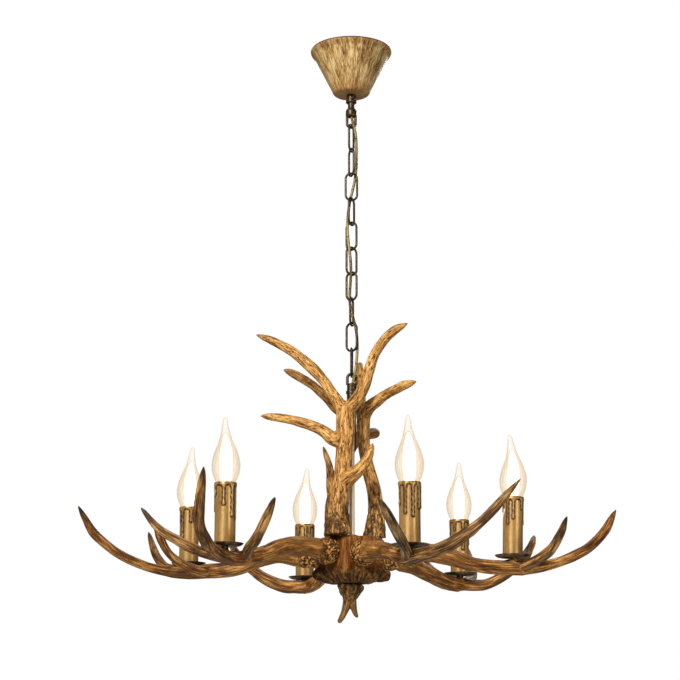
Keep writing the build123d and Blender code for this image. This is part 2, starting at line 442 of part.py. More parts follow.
hub = extrude(Plane.XY.offset(HUB_BOTTOM_Z) * RegularPolygon(HUB_FLAT / math.cos(math.pi / 6), 6, rotation=HUB_FIRST_FLAT + 30),
              HUB_TOP_Z - HUB_BOTTOM_Z)
hub_round = turned([(0, HUB_TOP_Z), (46.6, HUB_TOP_Z), (49.8, HUB_TOP_Z - 3), (50.2, -806.0), (48.0, -812.0),
                    (42.0, -819.0), (32.0, -825.5), (24.0, HUB_BOTTOM_Z), (0, HUB_BOTTOM_Z)])
hub = (hub & hub_round).solids()[0]
# the foot of each panel swells out between the arms
for k in range(6):
    x, y = around(HUB_FIRST_FLAT - 30 + 60 * k, FOOT_AT)
    hub = hub + Pos(x, y, FOOT_Z) * Sphere(FOOT_R)
hub = hub - rod(0, 0, HUB_TOP_Z - 10, HUB_TOP_Z + 1, STEM_R)
hub = hub - rod(0, 0, HUB_BOTTOM_Z - 1, -776.5, 24.0 - 4.0)

# nuts that clamp the hub on the stem, one above its top wall and one below
nut = RegularPolygon(8.0, 6) - Circle(STEM_R)
upper_nut = Pos(0, 0, HUB_TOP_Z) * extrude(nut, 5.0)
lower_nut = Pos(0, 0, -781.5) * extrude(nut, 5.0)
hub = hub - rod(0, 0, -777, -770, STEM_R)
save("stem_nuts", Compound([upper_nut.solids()[0], lower_nut.solids()[0]]))


def bolt(length):
    """M6 socket bolt along +Z: head from -5 to 0, shank from 0."""
    body = extrude(Circle(3.0), length) + Pos(0, 0, -5) * extrude(Circle(5.0), 5.0)
    return body - Pos(0, 0, -5) * extrude(RegularPolygon(2.9, 6), 2.6)


UPRIGHT_BOLT_AT = {"front": (-17.3, -33.9), "right": (33.0, 13.2), "rear": (-21.8, 31.1)}
bolts = []
arm_bolt_cuts = {}
for name, azimuth in ARM_AZIMUTH.items():
    z = ARMS[name]["beam"][1][2]
    place = Rot(0, 0, azimuth) * Pos(19.3, 0, z) * Rot(0, 90, 0)
    bolts.append(place * bolt(45.0))
    arm_bolt_cuts[name] = place * extrude(Circle(3.0), 45.0)
    hub = hub - arm_bolt_cuts[name]
upright_bolt_cuts = {}
for name, (x, y) in UPRIGHT_BOLT_AT.items():
    place = Pos(x, y, -798.0)
    bolts.append(place * bolt(62.0))
    upright_bolt_cuts[name] = place * extrude(Circle(3.0), 62.0)
    hub = hub - upright_bolt_cuts[name] - rod(x, y, -835, -798.0, 5.4)
hub = hub.solids()[0]
save("hub_body", hub)
save("antler_bolts", Compound([b.solids()[0] for b in bolts]))

# lower finial, a two-pronged tine end screwed on the stem
finial = fuse_all([
    antler_tube([(-1.5, 0, -831.0, 20.5), (-2.0, 0, -836.5, 19.5), (-3.0, 0, -843.0, 15.5), (-3.8, 0, -849.5, 11.6), (-6.4, 0, -857.0, 7.6),
                 (-9.0, -0.8, -865.0, 6.0), (-11.4, -1.5, -872.0, 5.0), (-14.6, -2.2, -879.0, 4.2), (-18.6, -2.9, -886.0, 3.2)]),
    antler_tube([(-2.2, 0, -848.0, 9.5), (0.2, 0.3, -857.0, 6.2), (2.0, 1.0, -865.0, 5.2), (4.4, 1.7, -872.5, 4.0), (7.4, 2.3, -878.2, 2.6)]),
])
finial = finial - Pos(0, 0, -825.5) * Box(80, 80, 10.0)
finial = finial - rod(0, 0, -846.0, -830.0, STEM_R)
finial = finial.solids()[0]
save("finial_antler", finial)

# --------------------------------------------------------------- arm antlers
pan_envelope = turned([(0, SEAT_Z), (18.2, SEAT_Z), (23.9, SEAT_Z + 1.5), (26.4, SEAT_Z + 4.2), (26.4, SEAT_Z + 30), (0, SEAT_Z + 30)])
for name, azimuth in ARM_AZIMUTH.items():
    a = ARMS[name]
    cx, cy, dz = CANDLES[name]
    beam_points = list(a["beam"])
    x0, y0 = around(azimuth, 36.0)
    beam_points[0] = (x0, y0, beam_points[0][2], beam_points[0][3])
    arm = fuse_all([antler_tube(beam_points), antler_tube(a["end_tine"]), antler_tube(a["side_tine"]), antler_tube(a["back_tine"])])
    arm = arm - Rot(0, 0, azimuth) * Pos(HUB_FLAT - 25.0, 0, -790) * Box(50.0, 80.0, 80.0)
    arm = arm.solids()[0] if len(arm.solids()) == 1 else max(arm.solids(), key=lambda s: s.volume)
    seat = rod(cx, cy, SEAT_Z + dz - 14.0, SEAT_Z + dz, POST_R)
    arm = arm + seat
    arm = arm - Pos(cx, cy, dz) * pan_envelope
    arm = arm - rod(cx, cy, SEAT_Z + dz - 12.2, SEAT_Z + dz + 1, CANDLE_NIPPLE_R)
    arm = arm - arm_bolt_cuts[name]
    arm = max(arm.solids(), key=lambda s: s.volume)
    save("arm_antler_" + name, arm)

# ------------------------------------------------------------ upright antlers
for name, tines in UPRIGHTS.items():
    trunk = list(tines["trunk"])
    x, y, z, r = trunk[0]
    trunk[0] = (x, y, HUB_TOP_Z - 6.0, r)
    up = fuse_all([antler_tube(trunk)] + [antler_tube(tines[t]) for t in tines if t != "trunk"])
    up = up - Pos(0, 0, HUB_TOP_Z - 20.0) * Box(200, 200, 40.0)
    up = up - upright_bolt_cuts[name]
    up = max(up.solids(), key=lambda s: s.volume)
    save("upright_antler_" + name, up)

# ------------------------------------------------------------------- candles
pan_profile = [(CANDLE_NIPPLE_R, SEAT_Z), (18.0, SEAT_Z), (23.5, SEAT_Z + 1.6), (PAN_RIM_R, SEAT_Z + 4.2),
               (PAN_RIM_R - 1.15, SEAT_Z + 4.2), (22.8, SEAT_Z + 2.7), (17.6, SEAT_Z + 1.2), (CANDLE_NIPPLE_R, SEAT_Z + 1.2)]
holder_profile = [(CANDLE_NIPPLE_R, FLOOR_Z), (9.0, FLOOR_Z), (9.0, -788.0), (6.0, -786.0), (6.0, -766.0), (12.4, -763.0), (12.9, -760.0),
                  (12.9, -728.4), (12.2, -727.5), (HOLDER_BORE_R, -727.5), (HOLDER_BORE_R, -752.5), (3.0, -752.5), (3.0, -784.5),
                  (CANDLE_NIPPLE_R, -786.0)]
glass_profile = [(7.0, -727.2), (8.2, -723.0), (11.2, -717.0), (13.1, -711.0), (16.2, -704.0), (18.6, -697.0),
                 (BULB_MAX_R, -689.5), (19.3, -682.0), (17.6, -674.0), (14.8, -665.5), (11.2, -657.0), (7.9, -648.0),
                 (5.6, -639.0), (4.2, -631.0), (3.3, -624.5), (2.0, -620.2), (0, BULB_TIP_Z),
                 (0, -632.0), (4.6, -639.5), (7.0, -648.6), (10.3, -657.6), (13.9, -666.0), (16.7, -674.4), (18.4, -682.2),
                 (18.7, -689.5), (17.7, -696.7), (15.3, -703.7), (12.2, -711.2), (10.3, -717.3), (7.3, -723.3), (6.1, -727.2)]
cap_profile = [(0, -752.0), (2.6, -752.0), (3.2, -750.6), (5.6, -748.6), (CAP_R, -745.6), (CAP_R, -729.0), (6.4, -727.2), (0, -727.2)]
nipples, holders = [], []
for name, azimuth in ARM_AZIMUTH.items():
    cx, cy, dz = CANDLES[name]
    at = Pos(cx, cy, dz)
    save("drip_pan_" + name, at * turned(pan_profile))
    save("candle_sleeve_" + name, ring_rod(cx, cy, FLOOR_Z + dz, SLEEVE_TOP_Z + dz, SLEEVE_R, SLEEVE_BORE_R))
    save("bulb_glass_" + name, at * turned(glass_profile))
    save("bulb_cap_" + name, at * turned(cap_profile))
    nipples.append(ring_rod(cx, cy, SEAT_Z + dz - 12.0, -788.5 + dz, CANDLE_NIPPLE_R, CANDLE_NIPPLE_BORE_R).solids()[0])
    holders.append((at * turned(holder_profile)).solids()[0])
save("candle_nipples", Compound(nipples))
save("lamp_holders", Compound(holders))
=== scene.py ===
import math
import bpy
import numpy as np
from mathutils import Vector, Matrix


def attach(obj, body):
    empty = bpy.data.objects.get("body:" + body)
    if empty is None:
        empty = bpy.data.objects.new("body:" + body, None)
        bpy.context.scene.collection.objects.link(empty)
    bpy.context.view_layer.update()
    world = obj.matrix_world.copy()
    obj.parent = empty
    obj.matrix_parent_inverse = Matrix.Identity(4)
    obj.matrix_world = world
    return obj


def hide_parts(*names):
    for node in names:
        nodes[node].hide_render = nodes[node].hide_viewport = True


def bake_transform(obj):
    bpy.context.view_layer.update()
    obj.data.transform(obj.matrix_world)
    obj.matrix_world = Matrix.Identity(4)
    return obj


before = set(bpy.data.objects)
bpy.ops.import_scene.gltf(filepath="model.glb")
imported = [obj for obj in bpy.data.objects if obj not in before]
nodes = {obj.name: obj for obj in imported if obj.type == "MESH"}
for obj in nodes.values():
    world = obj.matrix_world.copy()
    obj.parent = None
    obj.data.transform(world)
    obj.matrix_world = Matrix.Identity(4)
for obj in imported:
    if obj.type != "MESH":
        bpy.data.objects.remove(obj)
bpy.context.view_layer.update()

scene = bpy.context.scene
MM = 0.001

# Route of the cable down through the links, in mm.
CABLE_ROUTE = [
    (0, 0, -2), (0, 0, -105.5), (0.64, -1.23, -111), (1.72, -3, -116.5),
    (3.04, -4.6, -122), (5.26, -5.81, -131), (6.79, -5.68, -140.6), (7.59, -4.68, -150.2),
    (7.95, -3.21, -159.8), (8.08, -1.5, -169.4), (8.06, 0.34, -179), (7.78, 2.16, -188.6),
    (7.05, 3.83, -198.2), (5.71, 5.17, -207.8), (3.88, 6.12, -217.4), (1.64, 6.67, -227),
    (-0.76, 6.63, -236.6), (-2.7, 5.7, -246.2), (-4.03, 3.86, -255.8), (-5.05, 1.66, -265.4),
    (-5.83, -0.52, -275), (-6.19, -2.32, -284.6), (-5.95, -3.79, -294.2), (-5.46, -5.1, -303.8),
    (-4.67, -6.35, -313.4), (-3.52, -7.36, -323), (-2.43, -7.99, -332.6), (-1.6, -8.22, -342.2),
    (-1.05, -7.8, -351.8), (-0.87, -6.29, -361.4), (-1.33, -3.07, -371), (-2.11, 1.07, -380.6),
    (-2.78, 4.89, -390.2), (-2.95, 7.06, -399.8), (-2.24, 6.57, -409.4), (-0.46, 4.83, -419),
    (2.07, 3.38, -428.6), (4.63, 2.42, -438.2), (6.58, 1.92, -447.8), (7.8, 1.67, -457.4),
    (8.37, 1.36, -467), (8.52, 0.64, -476.6), (8.23, -0.82, -486.2), (7.62, -2.76, -495.8),
    (6.71, -4.49, -505.4), (5.11, -5.33, -516.5), (3.68, -4.41, -523), (1.88, -2.45, -529.5),
    (0.56, -0.8, -536), (0, 0, -543), (0, 0, -562),
]

# Centre lines of the antlers, in mm: (x, y, z, radius).
ARMS = {
    "right": {
        "beam": [(42.9, -9.9, -794.3, 18.5), (55.6, -12.4, -794.7, 17), (76.1, -17.5, -788.9, 14.3),
                (107.3, -24.7, -788, 14.3), (140.4, -32.6, -794.7, 12.4), (174.4, -39.5, -806.3, 10.2),
                (211.7, -46.9, -811.7, 10.8), (242.1, -53.8, -814, 10.3)],
        "end_tine": [(242.1, -53.8, -814, 10.3), (270.1, -54.9, -811.1, 8.7), (296.8, -50.9, -804.1, 7.3),
                    (321.8, -42.7, -793.6, 7.5), (342.5, -32, -781.5, 7.4), (359.3, -21.4, -766.9, 7.3),
                    (372.3, -11.3, -752.2, 7), (380.3, -1.7, -739.1, 5.8), (386.1, 5.9, -729.2, 4.1),
                    (391.4, 12.4, -720.9, 1.2)],
        "side_tine": [(242.1, -53.8, -814, 9), (254.5, -66.1, -808, 8.2), (266.3, -78.8, -801.7, 7.6),
                     (276.5, -92.7, -795.1, 7.8), (284, -105.4, -786, 6.9), (289.1, -116.9, -776.5, 6.3),
                     (292.8, -127.6, -767.9, 5.6), (294.7, -136.5, -760.7, 4.4), (296.2, -143.5, -755.2, 3),
                     (297.5, -149.4, -750.5, 0.9)],
        "back_tine": [(211.7, -46.9, -811.7, 9), (224.9, -35.1, -807, 8.2), (237.7, -23.1, -802, 7.7),
                     (247.8, -9.5, -795.1, 7.8), (256.3, 2.9, -787.4, 6.9), (262.1, 14, -778.1, 5.7), (267, 24.3, -769.9, 5.4),
                     (269.7, 33.3, -763.5, 4.3), (271.8, 40.4, -758.6, 3.1), (273.7, 46.4, -754.5, 0.9)],
    },
    "rear_right": {
        "beam": [(30, 32.2, -788.6, 18.5), (37.5, 40.2, -789, 17), (53.2, 57, -786, 14.3), (73.5, 80.4, -789.9, 14.3),
                (96.8, 106, -795.7, 12.4), (121.1, 132.3, -804.9, 11.8), (146, 160.1, -813.6, 11.7),
                (167.5, 182.7, -816, 11.2)],
        "end_tine": [(167.5, 182.7, -816, 10.3), (182.9, 207, -811.4, 9.7), (191.3, 233.5, -802.9, 8.5),
                    (195.2, 260.3, -792.5, 8.5), (196.7, 284.3, -780.1, 7.7), (194.4, 303.8, -764.9, 6.9),
                    (191.6, 321, -750, 6.1), (188.2, 333.3, -736.3, 4.8), (185.5, 342.9, -725.6, 3.5),
                    (183.2, 351.1, -716.5, 1.1)],
        "side_tine": [(167.5, 182.7, -816, 9), (188.2, 188.7, -816, 9.1), (210, 193.5, -814.8, 8.5), (230, 196.4, -806.4, 8.3),
                     (247.8, 196.7, -795.5, 7.9), (263.3, 196.5, -784.7, 7.3), (274.4, 195.4, -770.1, 6.1),
                     (281.9, 194.3, -758.1, 5), (287.1, 193.4, -748.3, 3.8), (291.8, 192.7, -740, 1.3)],
        "back_tine": [(146, 160.1, -813.6, 9), (140.9, 177.8, -806.5, 8.1), (135.7, 195.3, -800.5, 7.5),
                     (130.4, 212.5, -793.8, 7.7), (124.7, 227.2, -785.5, 7), (118.8, 239.7, -776.5, 6.5),
                     (113.3, 250.2, -767.3, 5.8), (108.5, 257.9, -758.8, 4.6), (104.9, 263.8, -752.2, 3.4),
                     (101.7, 268.9, -746.5, 1.1)],
    },
    "rear_left": {
        "beam": [(-12.9, 42.1, -788.6, 18.5), (-16.1, 52.6, -789, 17), (-22.8, 74.6, -786, 14.3),
                (-32.2, 105.2, -784.5, 14.3), (-42.4, 138.7, -789.8, 12.4), (-49, 171.8, -807.4, 10.7),
                (-62.9, 206.9, -814.5, 10.8), (-74.4, 236.6, -815, 10.7)],
        "end_tine": [(-74.4, 236.6, -815, 10.3), (-87.5, 261.4, -812.1, 10.3), (-105.6, 282.7, -810, 10.5),
                    (-126.9, 300.3, -802.2, 10.4), (-147.3, 312.5, -790.6, 9.4), (-165.4, 320.9, -775.6, 8.4),
                    (-181.5, 327.2, -761.6, 7.8), (-191.9, 332, -746.8, 6.5), (-197.8, 335.6, -734.4, 4.5),
                    (-202.8, 338.7, -723.8, 1.3)],
        "side_tine": [(-74.4, 236.6, -815, 9), (-70.2, 255.2, -809.3, 8.2), (-65.2, 273.4, -803.7, 7.6),
                     (-58.5, 290.5, -796.5, 7.7), (-51.5, 304.4, -787.2, 6.9), (-44.5, 316, -777.1, 6.5),
                     (-38, 325.4, -766.8, 5.6), (-32.7, 332.2, -757.5, 4.5), (-28.5, 337.5, -750.3, 3.4),
                     (-25, 342.1, -744.1, 1.1)],
        "back_tine": [(-62.9, 206.9, -814.5, 9), (-82.7, 210.6, -815.6, 8.9), (-103.2, 214.4, -816.2, 9.2),
                     (-122.2, 218.4, -809.3, 9), (-139.5, 221.3, -800.8, 8.3), (-154, 222.5, -791.5, 7.8),
                     (-167.7, 223.3, -780.5, 7.2), (-174.8, 223, -769.3, 5.7), (-180.2, 222.7, -760.8, 4.1),
                     (-184.8, 222.5, -753.5, 1.3)],
    },
    "left": {
        "beam": [(-42.9, 9.9, -788.6, 18.5), (-53.6, 12.4, -789, 17), (-77.2, 17.5, -791.1, 14), (-107.3, 24.7, -785, 13.2),
                (-139.9, 32.6, -793, 12.1), (-175.2, 39.5, -805, 11), (-212.1, 46.9, -807.7, 10.8),
                (-241.7, 53.8, -809.1, 10.3)],
        "end_tine": [(-241.7, 53.8, -809.1, 10.3), (-271, 55, -807.1, 8.9), (-299.4, 50.3, -802.6, 7.2),
                    (-325.6, 41.3, -793.4, 7.4), (-348.1, 30.4, -782.6, 7.3), (-366.3, 19.5, -769.1, 7.3),
                    (-381.2, 9.4, -755.2, 7.2), (-390.3, 0.5, -740.6, 5.7), (-396.5, -6.5, -728.8, 4.1),
                    (-402.1, -12.4, -718.2, 1.3)],
        "side_tine": [(-241.7, 53.8, -809.1, 9), (-257.9, 65.9, -805, 8.2), (-274, 79.1, -801.2, 7.6),
                     (-285.2, 96.3, -795.5, 7.6), (-293.9, 110.2, -785.6, 6.8), (-301.2, 122.7, -774.2, 6.3),
                     (-306.5, 131.8, -762.1, 5.3), (-310.4, 139, -751.7, 4.3), (-313.4, 144.6, -743.6, 3.2),
                     (-316.1, 149.4, -736.7, 1.1)],
        "back_tine": [(-212.1, 46.9, -807.7, 9), (-227, 33.1, -808.4, 8.1), (-240.9, 19.3, -805.4, 7.5),
                     (-254.3, 5.8, -798.2, 6.9), (-265.8, -7, -789.4, 5.9), (-273.3, -18.8, -779, 6.2),
                     (-278.7, -28.4, -767, 6.4), (-282.4, -35.8, -756.8, 5.1), (-285.6, -41.5, -749, 3.8),
                     (-288.7, -46.4, -742.5, 1.3)],
    },
    "front_left": {
        "beam": [(-30, -32.2, -786.8, 18.5), (-43.6, -40.2, -787.2, 17), (-53.4, -57, -784.2, 14.3),
                (-75, -80.4, -784.3, 14.3), (-99, -106, -787.9, 12.4), (-122.2, -132.3, -800.4, 11),
                (-146.5, -160.1, -809.8, 10.8), (-167.7, -182.7, -812.7, 10.3)],
        "end_tine": [(-167.7, -182.7, -812.7, 10.3), (-182.6, -207.7, -808.1, 9.1), (-191.9, -234.6, -801.5, 8.5),
                    (-197.8, -261.5, -791.5, 8.5), (-201.7, -285.5, -779, 7.8), (-200.6, -304.8, -762.9, 7.5),
                    (-198.5, -321.8, -747.7, 6.9), (-195.7, -333.8, -733.5, 5.5), (-193.7, -343.1, -722.5, 4),
                    (-191.9, -351.1, -713.1, 1.3)],
        "side_tine": [(-167.7, -182.7, -812.7, 9), (-187, -188.6, -809.4, 8.1), (-206.1, -193.4, -804.6, 7.5),
                     (-224.8, -196.2, -797, 7.6), (-241.3, -196.7, -787.7, 6.8), (-256.6, -196.5, -779.3, 6.4),
                     (-269, -195.5, -768.9, 5.4), (-277.5, -194.3, -759.1, 4.3), (-283.8, -193.5, -751.1, 3.4),
                     (-289.3, -192.7, -744.5, 1.2)],
        "back_tine": [(-146.5, -160.1, -809.8, 9), (-143.4, -178.5, -803.7, 8.1), (-138.8, -196.6, -797.7, 7.5),
                     (-131.9, -214.2, -791.9, 7.5), (-125.7, -228.9, -783.3, 6.9), (-120, -241.8, -774, 6.9),
                     (-114.4, -251.5, -763.7, 6.4), (-109.9, -258.6, -754.3, 5.2), (-106.6, -264.2, -747, 3.9),
                     (-103.4, -268.9, -740.9, 1.3)],
    },
    "front_right": {
        "beam": [(12.9, -42.1, -790.7, 18.5), (16.6, -52.6, -791.1, 17), (24.2, -74.6, -791.5, 14.3),
                (31.6, -105.2, -792.8, 14.3), (41.9, -138.7, -797.1, 12.4), (53.4, -171.8, -802.5, 11),
                (64.7, -206.9, -811.6, 10.8), (73.4, -236.6, -818.1, 10.3)],
        "end_tine": [(73.4, -236.6, -818.1, 10.3), (88.2, -261, -815.6, 9.2), (106.5, -282.4, -813.1, 8.6),
                    (127.3, -300.1, -805.6, 8.4), (148, -311.9, -791.9, 7.3), (166.1, -320.6, -778.1, 6.2),
                    (182.1, -327.3, -762.4, 6.3), (194.4, -332.2, -748.7, 5.5), (204.7, -335.7, -737.4, 4),
                    (214, -338.7, -727, 1.2)],
        "side_tine": [(73.4, -236.6, -818.1, 9), (70.2, -253.9, -811.3, 8.2), (66.6, -271, -804.4, 7.6),
                     (61, -287.5, -797.1, 7.7), (55.2, -301.4, -788.6, 7.1), (49, -312.6, -778.7, 6.7),
                     (43.3, -322.7, -769.5, 6.2), (38.3, -330.6, -761.8, 4.9), (34.4, -336.8, -755.9, 3.5),
                     (31, -342.1, -750.8, 1.1)],
        "back_tine": [(64.7, -206.9, -811.6, 9), (82.3, -210.6, -810.6, 8.2), (99.8, -214.4, -808.6, 7.6),
                     (116.4, -218, -802.6, 7.8), (131.7, -221, -796.6, 7.3), (144.9, -222.1, -788.6, 6.9),
                     (157, -223.1, -781.2, 6.8), (166.1, -223.1, -774.2, 5.7), (173, -222.8, -768.3, 3.9),
                     (178.8, -222.5, -763.2, 1.1)],
    },
}
UPRIGHTS = {
    "front": {
        "trunk": [(-21.2, -42, -765.7, 19.5), (-20.5, -42, -748.3, 17), (-19.5, -41, -723.4, 15), (-15.4, -38, -683.5, 12.5),
                 (-11.6, -36, -643.3, 12.3), (-9.7, -34, -608.7, 13.9), (-9.5, -33, -581.6, 14)],
        "left_tine": [(-9.8, -33, -581.6, 12), (-24.9, -32, -560.4, 8.7), (-38.7, -30.1, -538.2, 7.8),
                     (-55.2, -28.3, -518.1, 8.8), (-72.7, -26.5, -501.5, 8.5), (-90, -24.4, -487.4, 7.8),
                     (-107.2, -21.9, -477, 7), (-121.8, -19.7, -469.5, 6.2), (-133.4, -17.7, -464.6, 4.4),
                     (-143.4, -16, -460.4, 1.3)],
        "right_tine": [(-8.7, -33, -580.1, 12), (7.1, -35.5, -563.1, 10.2), (18.4, -40, -543.5, 9.3), (25.2, -45.7, -522, 8.4),
                      (32.1, -51.5, -502.2, 7.6), (41.9, -56.6, -486, 7.5), (52.5, -61.3, -473.5, 7.1),
                      (63.6, -65.5, -464.8, 6.5), (73.3, -68.5, -460, 4.6), (82.1, -71, -456.1, 1.2)],
        "mid_tine": [(-10.3, -34, -623.7, 12), (-27.1, -34, -621.9, 10.4), (-42.4, -33.3, -610.1, 8.6),
                    (-59.7, -31.8, -601.7, 7.9), (-76.4, -30.6, -596.2, 7.3), (-92.1, -29.1, -592.1, 6.7),
                    (-106.4, -27.5, -589.3, 6.4), (-117.9, -26.1, -587.7, 5.7), (-127, -25, -586.6, 4.4),
                    (-134.8, -24, -585.8, 1.4)],
        "brow_tine": [(-16.1, -38, -689.4, 13), (-7.5, -41, -683.3, 12), (1, -43.3, -676.8, 10.6), (9.2, -45.1, -669.9, 9.3),
                     (16.2, -45.8, -662.4, 8.1), (21.4, -46, -654.7, 7.2), (25.6, -46, -647.2, 6.4), (27.6, -45.6, -640.5, 5.2),
                     (29.1, -45.3, -635.2, 3.9), (30.4, -45, -630.7, 1.3)],
    },
    "right": {
        "trunk": [(33.4, 14, -763.6, 17.5), (34.9, 13, -741.5, 14.5), (35.6, 12, -716.4, 11.5), (32.9, 11, -691.1, 10.6),
                 (25, 9, -660, 9.6), (18.4, 6, -627.3, 9.8), (17.2, 2, -597.8, 10.4), (18.3, 0, -581.5, 10)],
        "left_tine": [(18.3, 0, -581.5, 10), (26.3, -7, -569.1, 9.2), (37.8, -17.5, -562.2, 8.6), (47.2, -29.2, -557, 7.5),
                     (56.7, -40.5, -553.1, 7.1), (66.2, -50.7, -550.1, 7.1), (74.8, -60, -547.6, 6.8),
                     (82.3, -67.4, -546.4, 5.6), (88.2, -73.1, -545.6, 3.9), (93.2, -78, -544.9, 1.3)],
        "right_tine": [(17.5, 2, -597.8, 9), (15.7, 14.1, -582.3, 8.3), (14.4, 26.5, -567.1, 7.8), (13.7, 39.3, -552.1, 7.8),
                      (13.7, 50.6, -537.8, 7.2), (13.9, 60.9, -524.4, 6.9), (13.8, 70, -511.9, 6.6), (13.8, 77.4, -501, 6.1),
                      (13.8, 83.1, -491.5, 5.6), (13.8, 87.5, -483, 4.4)],
        "brow_tine": [(32.5, 11, -691.1, 9.1), (29.6, 16, -682.6, 9), (26.5, 21.1, -673.9, 8), (24, 26.5, -665.4, 7.5),
                     (21.5, 30.7, -657.9, 6.5), (19.6, 33.8, -649.9, 5.9), (18, 36.4, -642.9, 5.3), (17.3, 37.9, -636.5, 4.4),
                     (16.7, 39, -631.6, 3.4), (16.2, 40, -627.3, 1.2)],
    },
    "rear": {
        "trunk": [(-25.1, 36, -764, 15), (-28.1, 35, -738.8, 13), (-29, 34, -713.4, 11.4), (-24, 33, -688, 10.5),
                 (-13, 30, -658.2, 10.3), (-4.5, 26, -625.5, 10.6), (-3, 23, -595.7, 10.6), (-4.5, 21, -576.2, 10)],
        "right_tine": [(-4.5, 21, -576.2, 9.4), (-22, 15.6, -567.3, 8.2), (-35.5, 8.3, -554.6, 6.8), (-46.9, 1.8, -544.5, 6.7),
                      (-58.1, -4.2, -535.6, 6.5), (-69.2, -9.7, -529.3, 6.7), (-79.7, -14.8, -524.1, 6.6),
                      (-88.3, -19.1, -520.3, 6.3), (-95.3, -22.3, -518, 4.6), (-101.3, -25, -516.1, 1.4)],
        "left_tine": [(-3.8, 22, -583.7, 10.2), (-3.2, 31.5, -577, 9.8), (-1.8, 41, -567.5, 8.8), (0.4, 50.9, -557.9, 7.8),
                     (4.4, 61.2, -551.3, 7), (7.9, 70.9, -545.3, 6.6), (10.8, 80.2, -540.2, 6.1), (12.9, 87.7, -535.9, 5.6),
                     (14, 93.2, -531.8, 4.1), (15, 98, -528.3, 1.3)],
        "mid_tine": [(-4.4, 26, -625.5, 10.8), (-2.5, 36.1, -620, 11), (1, 46.3, -613.5, 10.8), (7, 57.5, -607, 10),
                    (13, 68, -601.3, 9.2), (19.8, 78.5, -596.8, 7.9), (27, 88.1, -593.4, 8), (33.2, 96.1, -591, 8.2),
                    (37.6, 102.5, -589.4, 7.8), (41, 108, -588.4, 4.2)],
        "brow_tine": [(-27.6, 33.4, -694, 10.2), (-29.8, 31, -682, 8.9), (-31.2, 28.8, -671, 7.4), (-32.3, 26.1, -662, 6.3),
                     (-33.4, 24.1, -654.8, 5.8), (-34.9, 22.2, -648, 5.1), (-36.9, 20.7, -642, 4.6), (-38.9, 19.2, -636.6, 4.1),
                     (-40.4, 17.9, -632.2, 3.3), (-41.4, 16.9, -628.7, 2.5), (-42.6, 16, -625, 0.9)],
    },
}

# Candle centres and height offsets: (x, y, dz), and the azimuth of each arm in degrees.
CANDLES = {"right": (230.2, -55.0, -0.4), "rear_right": (170.3, 179.8, -3.8),
           "rear_left": (-74.1, 234.8, -4.4), "left": (-244.2, 55.3, -0.4),
           "front_left": (-174.7, -182.9, 2.0), "front_right": (75.8, -235.5, -5.0)}
AZIMUTH = {"right": -13.0, "rear_right": 47.0, "rear_left": 107.0,
           "left": 167.0, "front_left": 227.0, "front_right": 287.0}
SEAT_Z = -798.2
SLEEVE_TOP = -711.0
HUB_TOP = -764.5


# ------------------------------------------------------------------ noise
def _hash(ix, iy, iz, seed):
    with np.errstate(over="ignore"):
        h = (ix.astype(np.int64) * 374761393 + iy.astype(np.int64) * 668265263
             + iz.astype(np.int64) * 1442695041 + seed * 974634777) & 0xffffffff
        h = ((h ^ (h >> 13)) * 1274126177) & 0xffffffff
        h = (h ^ (h >> 16)) & 0xffffff
    return h / float(0xffffff) * 2.0 - 1.0


def vnoise(p, seed):
    f = np.floor(p)
    t = p - f
    t = t * t * (3 - 2 * t)
    i = f.astype(np.int64)
    out = 0.0
    for dx in (0, 1):
        wx = t[:, 0] if dx else 1 - t[:, 0]
        for dy in (0, 1):
            wy = t[:, 1] if dy else 1 - t[:, 1]
            for dz in (0, 1):
                wz = t[:, 2] if dz else 1 - t[:, 2]
                out = out + wx * wy * wz * _hash(i[:, 0] + dx, i[:, 1] + dy, i[:, 2] + dz, seed)
    return out


def fbm(p, seed, octaves=3):
    out, a, k = 0.0, 1.0, 1.0
    for o in range(octaves):
        out = out + a * vnoise(p * k, seed + 17 * o)
        a *= 0.5
        k *= 2.03
    return out / (2 - 2 ** (1 - octaves))


def smooth(a, b, x):
    t = np.clip((x - a) / (b - a), 0, 1)
    return t * t * (3 - 2 * t)


# ------------------------------------------------------------- mesh helpers
def make(name, verts, faces, smooth_shade=True):
    me = bpy.data.meshes.new(name)
    me.from_pydata([tuple(v) for v in verts], [], [tuple(f) for f in faces])
    me.update()
    ob = bpy.data.objects.new(name, me)
    scene.collection.objects.link(ob)
    if smooth_shade:
        me.polygons.foreach_set("use_smooth", [True] * len(me.polygons))
    return ob


def spline(points, step=2.6):
    """Catmull-Rom through (x, y, z, r) points, resampled about every step mm."""
    p = np.array(points, float)
    q = np.vstack([2 * p[0] - p[1], p, 2 * p[-1] - p[-2]])
    out = []
    for i in range(1, len(q) - 2):
        a, b, c, d = q[i - 1], q[i], q[i + 1], q[i + 2]
        n = max(3, int(np.linalg.norm((c - b)[:3]) / step))
        for k in range(n):
            t = k / n
            out.append(0.5 * (2 * b + (c - a) * t + (2 * a - 5 * b + 4 * c - d) * t * t + (3 * b - a - 3 * c + d) * t ** 3))
    out.append(q[-2])
    out = np.array(out)
    out[:, 3] = np.maximum(out[:, 3], 0.8)
    return out


def frames(c):
    """Tangents and two turned sides along a centre line."""
    n = len(c)
    t = np.zeros((n, 3))
    t[1:-1] = c[2:] - c[:-2]
    t[0], t[-1] = c[1] - c[0], c[-1] - c[-2]
    t /= np.linalg.norm(t, axis=1)[:, None]
    u = np.zeros((n, 3))
    s = np.cross((0.31, 0.17, 0.93), t[0])
    for i in range(n):
        s = s - t[i] * np.dot(s, t[i])
        s /= np.linalg.norm(s)
        u[i] = s
    return t, u, np.cross(t, u)


